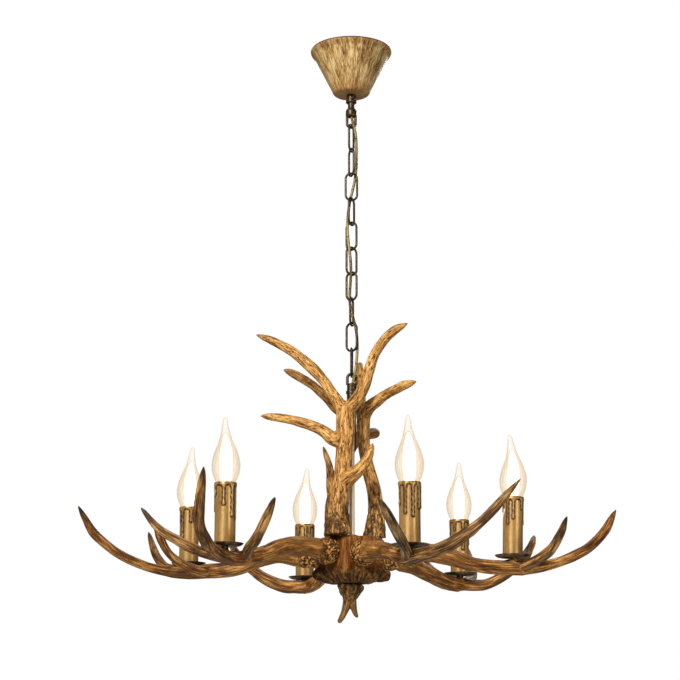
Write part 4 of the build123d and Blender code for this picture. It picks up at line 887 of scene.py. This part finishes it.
# fine upright brush marks: turned coordinates at a constant radius
attr(canopy.data, "flow", np.column_stack([60 * np.cos(an), 60 * np.sin(an), pz[:, 2]]), "FLOAT_VECTOR")
flow = attribute(nt, "flow").outputs["Vector"]
n1 = noise(nt, flow, 1.0, 5, 0.62, (0.55, 0.55, 0.075))
n2 = noise(nt, flow, 1.0, 4, 0.65, (1.25, 1.25, 0.20))
n3 = noise(nt, flow, 1.0, 3, 0.5, (0.085, 0.085, 0.022))
g = mth(nt, "ADD", mth(nt, "MULTIPLY", n1, 0.40), mth(nt, "ADD", mth(nt, "MULTIPLY", n2, 0.32), mth(nt, "MULTIPLY", n3, 0.28)))
col = ramp(nt, g, [(0.41, (0.046, 0.016, 0.004)), (0.46, (0.165, 0.078, 0.020)), (0.505, (0.320, 0.200, 0.072)), (0.57, (0.550, 0.430, 0.225))])
z = node(nt, "ShaderNodeSeparateXYZ")
nt.links.new(flow, z.inputs[0])
lowband = ramp(nt, mth(nt, "MULTIPLY_ADD", z.outputs["Z"], -1 / 73.0, 0.0), [(0.0, (1, 1, 1)), (0.055, (0.75, 0.75, 0.75)), (0.13, (0.1, 0.1, 0.1)), (0.80, (0.0, 0.0, 0.0)), (0.90, (0.85, 0.85, 0.85)), (1.0, (0.9, 0.9, 0.9))])
warm = ramp(nt, n2, [(0.42, (0.075, 0.026, 0.006)), (0.58, (0.400, 0.210, 0.065))])
col = mix(nt, mth(nt, "MULTIPLY", lowband, 0.75), col, warm)
rimband = ramp(nt, mth(nt, "MULTIPLY", z.outputs["Z"], -0.1, clamp=True), [(0.0, (1, 1, 1)), (0.16, (0.9, 0.9, 0.9)), (0.27, (0, 0, 0))])
col = mix(nt, rimband, col, (0.060, 0.030, 0.010))
nt.links.new(col, b.inputs["Base Color"])
b.inputs["Metallic"].default_value = 0.0
b.inputs["Specular IOR Level"].default_value = 0.18
nt.links.new(mth(nt, "MULTIPLY_ADD", n2, 0.25, 0.38), b.inputs["Roughness"])
bump(nt, b, g, 0.5, 0.0007)
canopy.data.materials.clear()
canopy.data.materials.append(m)
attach(canopy, "ceiling_mount")
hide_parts("ceiling_canopy")

# ------------------------------------------------------------ supply cable
cv = bpy.data.curves.new("cable_line", "CURVE")
cv.dimensions = "3D"
sp = cv.splines.new("NURBS")
sp.points.add(len(CABLE_ROUTE) - 1)
for q, pt in zip(sp.points, CABLE_ROUTE):
    q.co = (pt[0] * MM, pt[1] * MM, pt[2] * MM, 1.0)
sp.order_u = 3
sp.use_endpoint_u = True
sp.resolution_u = 10
line_ob = bpy.data.objects.new("cable_line", cv)
scene.collection.objects.link(line_ob)
deps = bpy.context.evaluated_depsgraph_get()
lm = bpy.data.meshes.new_from_object(line_ob.evaluated_get(deps))
path = coords(lm)
order = np.argsort(-path[:, 2])
path = path[order]
bpy.data.objects.remove(line_ob)
keep = [0]
for i in range(1, len(path)):
    if np.linalg.norm(path[i] - path[keep[-1]]) > 0.0012:
        keep.append(i)
path = path[keep]
HINGES = [-126.05] + [-121.75 - 39.6 * i - 43.45 for i in range(10)]
t_, u_, w_ = frames(path)
M_CABLE, nt, b = material("cable_sheath")
obj = object_coords(nt)
c1 = noise(nt, obj, 500.0, 4, 0.6)
c2 = noise(nt, obj, 90.0, 3, 0.6, (1, 1, 0.3))
cc = ramp(nt, mth(nt, "ADD", mth(nt, "MULTIPLY", c1, 0.4), mth(nt, "MULTIPLY", c2, 0.6)),
          [(0.36, (0.050, 0.034, 0.007)), (0.5, (0.135, 0.098, 0.022)), (0.66, (0.280, 0.215, 0.070))])
nt.links.new(cc, b.inputs["Base Color"])
nt.links.new(mth(nt, "MULTIPLY_ADD", c1, 0.2, 0.25), b.inputs["Roughness"])
bump(nt, b, c1, 0.2, 0.0002)
SEC = 24
RC = 2.2 * MM
a_ = np.arange(SEC) * 2 * math.pi / SEC
ringd = np.cos(a_)[None, :, None] * u_[:, None, :] + np.sin(a_)[None, :, None] * w_[:, None, :]
zs_ = path[:, 2] / MM
# the sheath is one tube, cut where one hinge's bend ends and the next begins
MID = [0.5 * (HINGES[i] + HINGES[i + 1]) for i in range(10)]
LIMITS = [10.0] + MID + [-10000.0]
first = None
for i in range(11):
    hi, lo = LIMITS[i], LIMITS[i + 1]
    idx = np.where((zs_ <= hi) & (zs_ >= lo))[0]
    if idx[0] > 0:
        idx = np.r_[idx[0] - 1, idx]
    if idx[-1] < len(path) - 1:
        idx = np.r_[idx, idx[-1] + 1]
    vv = (path[idx][:, None, :] + ringd[idx] * RC).reshape(-1, 3)
    ff = []
    for j in range(len(idx) - 1):
        for k in range(SEC):
            mm_ = (k + 1) % SEC
            ff.append((j * SEC + k, j * SEC + mm_, (j + 1) * SEC + mm_, (j + 1) * SEC + k))
    ff.append([k for k in range(SEC)][::-1])
    ff.append([(len(idx) - 1) * SEC + k for k in range(SEC)])
    seg = make("cable_part_%02d" % (i + 1), vv, ff)
    seg.data.materials.append(M_CABLE)
    top, bot = path[idx[0]][2], path[idx[-1]][2]
    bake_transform(seg)
    if first is None:
        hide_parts("supply_cable")
        first = seg

# ------------------------------------------------------------------ candles
SLEEVE_MAT, nt, b = material("candle_satin_gold")
obj = object_coords(nt)
wax = attribute(nt, "wax").outputs["Fac"]
edge = attribute(nt, "edge").outputs["Fac"]
side_ = attribute(nt, "flow").outputs["Vector"]
a1 = noise(nt, side_, 1.0, 4, 0.6, (0.22, 0.22, 0.02))
a2 = noise(nt, obj, 260.0, 3, 0.6)
g = mth(nt, "ADD", mth(nt, "MULTIPLY", a1, 0.75), mth(nt, "MULTIPLY", a2, 0.25))
base_c = ramp(nt, g, [(0.24, (0.170, 0.080, 0.018)), (0.50, (0.315, 0.180, 0.055)), (0.76, (0.470, 0.310, 0.120))])
wax_c = ramp(nt, g, [(0.38, (0.170, 0.082, 0.019)), (0.50, (0.310, 0.172, 0.047)), (0.62, (0.430, 0.270, 0.090))])
col = mix(nt, wax, base_c, wax_c)
col = mix(nt, edge, col, (0.014, 0.0060, 0.0020))
nt.links.new(col, b.inputs["Base Color"])
b.inputs["Metallic"].default_value = 0.35
nt.links.new(mth(nt, "MULTIPLY_ADD", a2, 0.22, 0.26), b.inputs["Roughness"])
b.inputs["Specular IOR Level"].default_value = 0.4
bump(nt, b, a2, 0.12, 0.0002)

HOT, nt, b = material("bulb_glow")
obj = object_coords(nt)
gl = noise(nt, attribute(nt, "flow").outputs["Vector"], 1.0, 3, 0.5, (0.16, 0.16, 0.03))
gc = ramp(nt, gl, [(0.36, (1.0, 0.80, 0.55)), (0.50, (1.0, 0.93, 0.80)), (0.62, (1.0, 0.99, 0.95))])
nt.links.new(gc, b.inputs["Emission Color"])
b.inputs["Emission Strength"].default_value = 5.0
nt.links.new(gc, b.inputs["Base Color"])
b.inputs["Roughness"].default_value = 0.5
lw = node(nt, "ShaderNodeLayerWeight")
lw.inputs["Blend"].default_value = 0.5
soft = ramp(nt, lw.outputs["Facing"], [(0.0, (1, 1, 1)), (0.35, (0.85, 0.85, 0.85)), (0.62, (0.40, 0.40, 0.40)), (0.85, (0, 0, 0))])
nt.links.new(soft, b.inputs["Alpha"])

GLASS, nt, b = material("bulb_glass")
b.inputs["Roughness"].default_value = 0.02
b.inputs["IOR"].default_value = 1.45
b.inputs["Base Color"].default_value = (1.0, 0.93, 0.84, 1)
gb = noise(nt, attribute(nt, "flow").outputs["Vector"], 1.0, 2, 0.5, (0.05, 0.05, 0.012))
bump(nt, b, gb, 0.15, 0.0006)
out = nt.nodes["Material Output"]
tr = node(nt, "ShaderNodeBsdfTransparent")
lw = node(nt, "ShaderNodeLayerWeight")
lw.inputs["Blend"].default_value = 0.45
tint = ramp(nt, lw.outputs["Facing"], [(0.0, (1.0, 0.988, 0.965)), (0.40, (0.998, 0.970, 0.925)), (0.72, (0.985, 0.925, 0.850)), (0.90, (0.945, 0.850, 0.755)), (1.0, (0.74, 0.64, 0.55))])
nt.links.new(tint, tr.inputs["Color"])
gs = node(nt, "ShaderNodeBsdfGlossy")
gs.inputs["Roughness"].default_value = 0.06
ms = node(nt, "ShaderNodeMixShader")
fr = node(nt, "ShaderNodeFresnel")
fr.inputs["IOR"].default_value = 1.35
nt.links.new(mth(nt, "MULTIPLY", fr.outputs[0], 0.10), ms.inputs[0])
nt.links.new(tr.outputs[0], ms.inputs[1])
nt.links.new(gs.outputs[0], ms.inputs[2])
nt.links.new(ms.outputs[0], out.inputs["Surface"])

# warm light caught round the filament: a thin streaked veil
VEIL, nt, b = material("bulb_veil")
out = nt.nodes["Material Output"]
vf = attribute(nt, "flow").outputs["Vector"]
v1 = noise(nt, vf, 1.0, 3, 0.55, (0.20, 0.20, 0.022))
v2 = noise(nt, vf, 1.0, 2, 0.5, (0.06, 0.06, 0.03))
vc = ramp(nt, v1, [(0.38, (1.0, 0.70, 0.42)), (0.52, (1.0, 0.86, 0.67)), (0.64, (1.0, 0.96, 0.88))])
em = node(nt, "ShaderNodeEmission")
nt.links.new(vc, em.inputs["Color"])
em.inputs["Strength"].default_value = 1.0
tv = node(nt, "ShaderNodeBsdfTransparent")
mv = node(nt, "ShaderNodeMixShader")
va = ramp(nt, mth(nt, "ADD", mth(nt, "MULTIPLY", v1, 0.6), mth(nt, "MULTIPLY", v2, 0.4)), [(0.38, (0.50, 0.50, 0.50)), (0.60, (0.14, 0.14, 0.14))])
nt.links.new(va, mv.inputs[0])
nt.links.new(tv.outputs[0], mv.inputs[1])
nt.links.new(em.outputs[0], mv.inputs[2])
nt.links.new(mv.outputs[0], out.inputs["Surface"])

BULB = [(7.0, -727.0), (7.6, -725.0), (8.4, -722.5), (11.0, -717.2), (13.1, -711.0), (16.2, -704.0), (18.5, -697.0), (19.55, -689.5),
        (19.3, -682.0), (17.6, -674.0), (14.8, -665.5), (11.3, -657.0), (8.1, -648.0), (5.8, -639.0), (4.35, -631.0), (3.35, -624.5), (2.2, -620.6), (0.3, -619.1)]
# how far each flame tip leans: (reach, back-curl)
LEAN = {"right": (-5.6, 0.9), "rear_right": (1.0, 0.3), "rear_left": (3.2, 0.5), "left": (2.4, 0.5), "front_left": (-1.6, 0.8), "front_right": (-1.2, 0.6)}
rng = np.random.default_rng(77)


def drips(name, k):
    """Drips of one sleeve: (angle, half width, length) in mm around and down."""
    out = []
    count = 8
    for j in range(count):
        a = 2 * math.pi * (j + 0.26 * rng.uniform(-1, 1)) / count + 0.35 * k
        out.append((a, rng.uniform(1.35, 1.9), rng.choice([17, 22, 27, 33, 40, 46]) * rng.uniform(0.92, 1.08)))
    return out


# the right candle leans out a little on its post
TILT = {"right": 0.028}


for k, (name, (cx, cy, dz)) in enumerate(CANDLES.items()):
    # sleeve with the wax layer laid over its top
    NA, NZ = 200, 150
    top, bot = SLEEVE_TOP + dz, SEAT_Z + 1.25 + dz
    zz = np.linspace(bot, top, NZ)
    aa = np.arange(NA) * 2 * math.pi / NA
    Z, Aa = np.meshgrid(zz, aa, indexing="ij")
    R0 = 15.0
    down = top - Z
    field = 4.2 + 0.8 * np.sin(3 * Aa + 1.7 * k) - down
    scallop = np.full_like(Z, 99.0)
    dr = drips(name, k)
    for (a, hw, ln) in dr:
        x = (Aa - a + math.pi) % (2 * math.pi) - math.pi
        x = x * R0
        # straight run with a rounded drop at its end
        dy = np.clip(down - ln, 0, None)
        wid = hw * (1.0 + 0.32 * smooth(ln - 7, ln - 1.5, down)) * (0.85 + 0.15 * np.cos(down * 0.5 + a * 5))
        cap = wid - np.hypot(x, dy)
        # the foot of the rim flares into each drip
        flare = wid + 3.6 * np.exp(-np.clip(down - 3.4, 0, None) / 2.6) - np.abs(x)
        flare = np.where(down < ln, flare, -99)
        field = np.maximum(field, np.maximum(cap, np.minimum(flare, 14 - down)))
    layer = 1.15 * smooth(-0.25, 1.0, field) + 0.28 * smooth(0.8, 2.0, field)
    edge_ = np.clip(np.exp(-((field + 0.55) / 1.25) ** 4) * (0.92 + 0.25 * np.sin(Z * 0.9 + Aa * 7)), 0, 1)
    edge_ = np.maximum(edge_, 0.75 * np.exp(-((down - 1.5) / 0.7) ** 2) * (np.sin(Aa * 5 + k) > -0.3))
    lip = 0.5 * smooth(3.0, 0.4, down)
    Rr = R0 + layer - 0.55 - lip * 0.8
    tl = TILT.get(name, 0.0)
    outer_v = np.stack([cx + Rr * np.cos(Aa) + tl * (Z - bot), cy + Rr * np.sin(Aa), Z], -1).reshape(-1, 3)
    rimr = [(15.1, 0.28), (14.6, 0.42), (14.1, 0.30), (13.85, 0.0), (13.8, -12.0), (13.8, -40.0), (13.8, bot - top)]
    vv = [outer_v]
    for rr, hh in rimr:
        wob = 0.12 * np.sin(3 * aa + k) if hh > 0 else 0.0
        vv.append(np.stack([cx + rr * np.cos(aa) + tl * (top + hh - bot), cy + rr * np.sin(aa), top + hh + wob + 0 * aa], -1))
    vv = np.vstack(vv)
    rows = NZ + len(rimr)
    ff = []
    for j in range(rows):
        j2 = (j + 1) % rows
        for q in range(NA):
            q2 = (q + 1) % NA
            ff.append((j * NA + q, j * NA + q2, j2 * NA + q2, j2 * NA + q))
    sl = make("candle_wax_" + name, vv * MM, ff)
    extra = len(rimr) * NA
    attr(sl.data, "wax", np.r_[smooth(-0.2, 0.8, field).ravel(), np.ones(extra)])
    attr(sl.data, "edge", np.r_[edge_.ravel(), np.zeros(extra)])
    attr(sl.data, "height", np.r_[(1 - down / 84).ravel(), np.ones(extra)])
    al = np.r_[Aa.ravel(), np.tile(aa, len(rimr))]
    attr(sl.data, "flow", np.column_stack([15 * np.cos(al), 15 * np.sin(al), vv[:, 2]]), "FLOAT_VECTOR")
    sl.data.materials.append(SLEEVE_MAT)
    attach(sl, "fixture")
    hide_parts("candle_sleeve_" + name)

    # dish
    S = SEAT_Z
    under = fine_profile([(4.3, S), (12, S), (18, S + 0.1), (22.2, S + 1.0), (24.6, S + 2.6), (25.65, S + 3.8), (25.75, S + 4.15)], 0.9)
    over = fine_profile([(25.3, S + 4.25), (24.6, S + 3.9), (23.2, S + 2.7), (21.4, S + 1.9), (18.6, S + 1.3), (16.0, S + 1.2), (4.3, S + 1.2)], 0.9)
    pan = outward(lathe("dish_" + name, under + over, at=(cx, cy, dz), sides=120))
    pan.data.materials.append(PAN)
    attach(pan, "fixture")
    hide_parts("drip_pan_" + name)

    # flame-shaped lamp
    lean, curl = LEAN[name]

    def bend(zv, lean=lean, curl=curl, tl=tl):
        t = min(max((zv + 668.0) / 48.0, 0.0), 1.0)
        return tl * (zv + 797.0) + lean * t * t - curl * 3.0 * math.sin(math.pi * t) * t * (1 if lean < 0 else -1) * 0.6, 0.15 * lean * t * t

    prof = fine_profile(BULB, 1.6)
    gl_ = lathe("lamp_glass_" + name, prof, at=(cx, cy, dz), sides=96, bend=bend, closed=False)
    pg = coords(gl_.data) / MM
    ag = np.arctan2(pg[:, 1] - cy, pg[:, 0] - cx)
    attr(gl_.data, "flow", np.column_stack([18 * np.cos(ag), 18 * np.sin(ag), pg[:, 2]]), "FLOAT_VECTOR")
    so = gl_.modifiers.new("wall", "SOLIDIFY")
    so.thickness = 0.0008
    so.offset = 0.0
    gl_.data.materials.append(GLASS)
    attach(gl_, "bulb_" + name)
    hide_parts("bulb_glass_" + name)
    core = fine_profile([(0.3, -726.0), (4.0, -725.6), (4.8, -721.0), (6.0, -714.0), (7.4, -706.0), (8.6, -697.0), (9.2, -688.0),
                         (9.0, -679.0), (8.2, -670.0), (6.8, -661.0), (4.8, -652.5), (2.4, -646.0), (0.3, -643.0)], 1.8)
    co = lathe("lamp_glow_" + name, core, at=(cx, cy, dz), sides=72, bend=bend, closed=False)
    pg = coords(co.data) / MM
    ag = np.arctan2(pg[:, 1] - cy, pg[:, 0] - cx)
    attr(co.data, "flow", np.column_stack([18 * np.cos(ag), 18 * np.sin(ag), pg[:, 2]]), "FLOAT_VECTOR")
    co.data.materials.append(HOT)
    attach(co, "bulb_" + name)
    for grow, tag in ((1.30, "inner"), (1.62, "outer")):
        veil = [(rr * grow if rr > 1 else rr, -700.0 + (zz_ + 700.0) * (1 + 0.10 * (grow - 1))) for rr, zz_ in core]
        veil = [(min(rr, 0.93 * float(np.interp(zz_, [q[1] for q in BULB], [q[0] for q in BULB]))), zz_) for rr, zz_ in veil]
        ve = lathe("lamp_veil_%s_%s" % (tag, name), veil, at=(cx, cy, dz), sides=72, bend=bend, closed=False)
        pg = coords(ve.data) / MM
        ag = np.arctan2(pg[:, 1] - cy, pg[:, 0] - cx) + grow
        attr(ve.data, "flow", np.column_stack([18 * np.cos(ag), 18 * np.sin(ag), pg[:, 2]]), "FLOAT_VECTOR")
        ve.data.materials.append(VEIL)
        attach(ve, "bulb_" + name)

# --------------------------------------------------------- stage and camera
scene.view_settings.view_transform = "Standard"
scene.view_settings.look = "None"
scene.view_settings.exposure = 0.0
scene.view_settings.gamma = 1.0

w = bpy.data.worlds.new("studio")
scene.world = w
w.use_nodes = True
nt = w.node_tree
bg = nt.nodes["Background"]
tc = node(nt, "ShaderNodeTexCoord")
sx = node(nt, "ShaderNodeSeparateXYZ")
nt.links.new(tc.outputs["Generated"], sx.inputs[0])
wc = ramp(nt, mth(nt, "MULTIPLY_ADD", sx.outputs["Z"], 0.5, 0.5), [(0.0, (0.040, 0.034, 0.027)), (0.45, (0.065, 0.057, 0.048)), (0.60, (0.19, 0.175, 0.155)), (1.0, (0.36, 0.34, 0.31))])
nt.links.new(wc, bg.inputs["Color"])
bg.inputs["Strength"].default_value = 1.0
# the wall behind the lamp is plain white; the light on the lamp comes from the soft boxes
white = node(nt, "ShaderNodeBackground")
white.inputs["Color"].default_value = (1, 1, 1, 1)
white.inputs["Strength"].default_value = 1.0
lp = node(nt, "ShaderNodeLightPath")
mx = node(nt, "ShaderNodeMixShader")
nt.links.new(lp.outputs["Is Camera Ray"], mx.inputs[0])
nt.links.new(bg.outputs[0], mx.inputs[1])
nt.links.new(white.outputs[0], mx.inputs[2])
nt.links.new(mx.outputs[0], nt.nodes["World Output"].inputs["Surface"])

fl = make("studio_floor", [(30 * math.cos(math.radians(5 * i)), 30 * math.sin(math.radians(5 * i)), -2.4) for i in range(72)], [list(range(72))], False)
fm, nt, b = material("studio_paper")
b.inputs["Base Color"].default_value = (0.70, 0.70, 0.69, 1)
b.inputs["Roughness"].default_value = 0.9
fl.data.materials.append(fm)


def area(name, loc, target, size, power, color=(1, 1, 1)):
    l = bpy.data.lights.new(name, "AREA")
    l.shape = "DISK"
    l.size = size
    l.energy = power
    l.color = color
    o = bpy.data.objects.new(name, l)
    scene.collection.objects.link(o)
    o.location = loc
    o.rotation_euler = (Vector(target) - Vector(loc)).to_track_quat("-Z", "Y").to_euler()
    return o


area("key", (-1.3, -2.6, 0.75), (0, 0, -0.65), 0.9, 150, (1.0, 0.95, 0.86))
area("strip", (1.9, -1.9, -0.5), (0, 0, -0.70), 0.7, 26, (1.0, 0.96, 0.88))
area("rim", (0.9, 2.2, 0.9), (0, 0, -0.65), 1.0, 30, (1.0, 0.94, 0.85))

cam = bpy.data.cameras.new("view")
cam.sensor_width = 36.0
cam.lens = 91.85
cam.clip_start = 0.05
cam.clip_end = 60
co = bpy.data.objects.new("view", cam)
scene.collection.objects.link(co)
co.location = (-0.0176, -2.55, -1.0583)
co.rotation_euler = (math.radians(90 + 13.1), 0, 0)
scene.camera = co
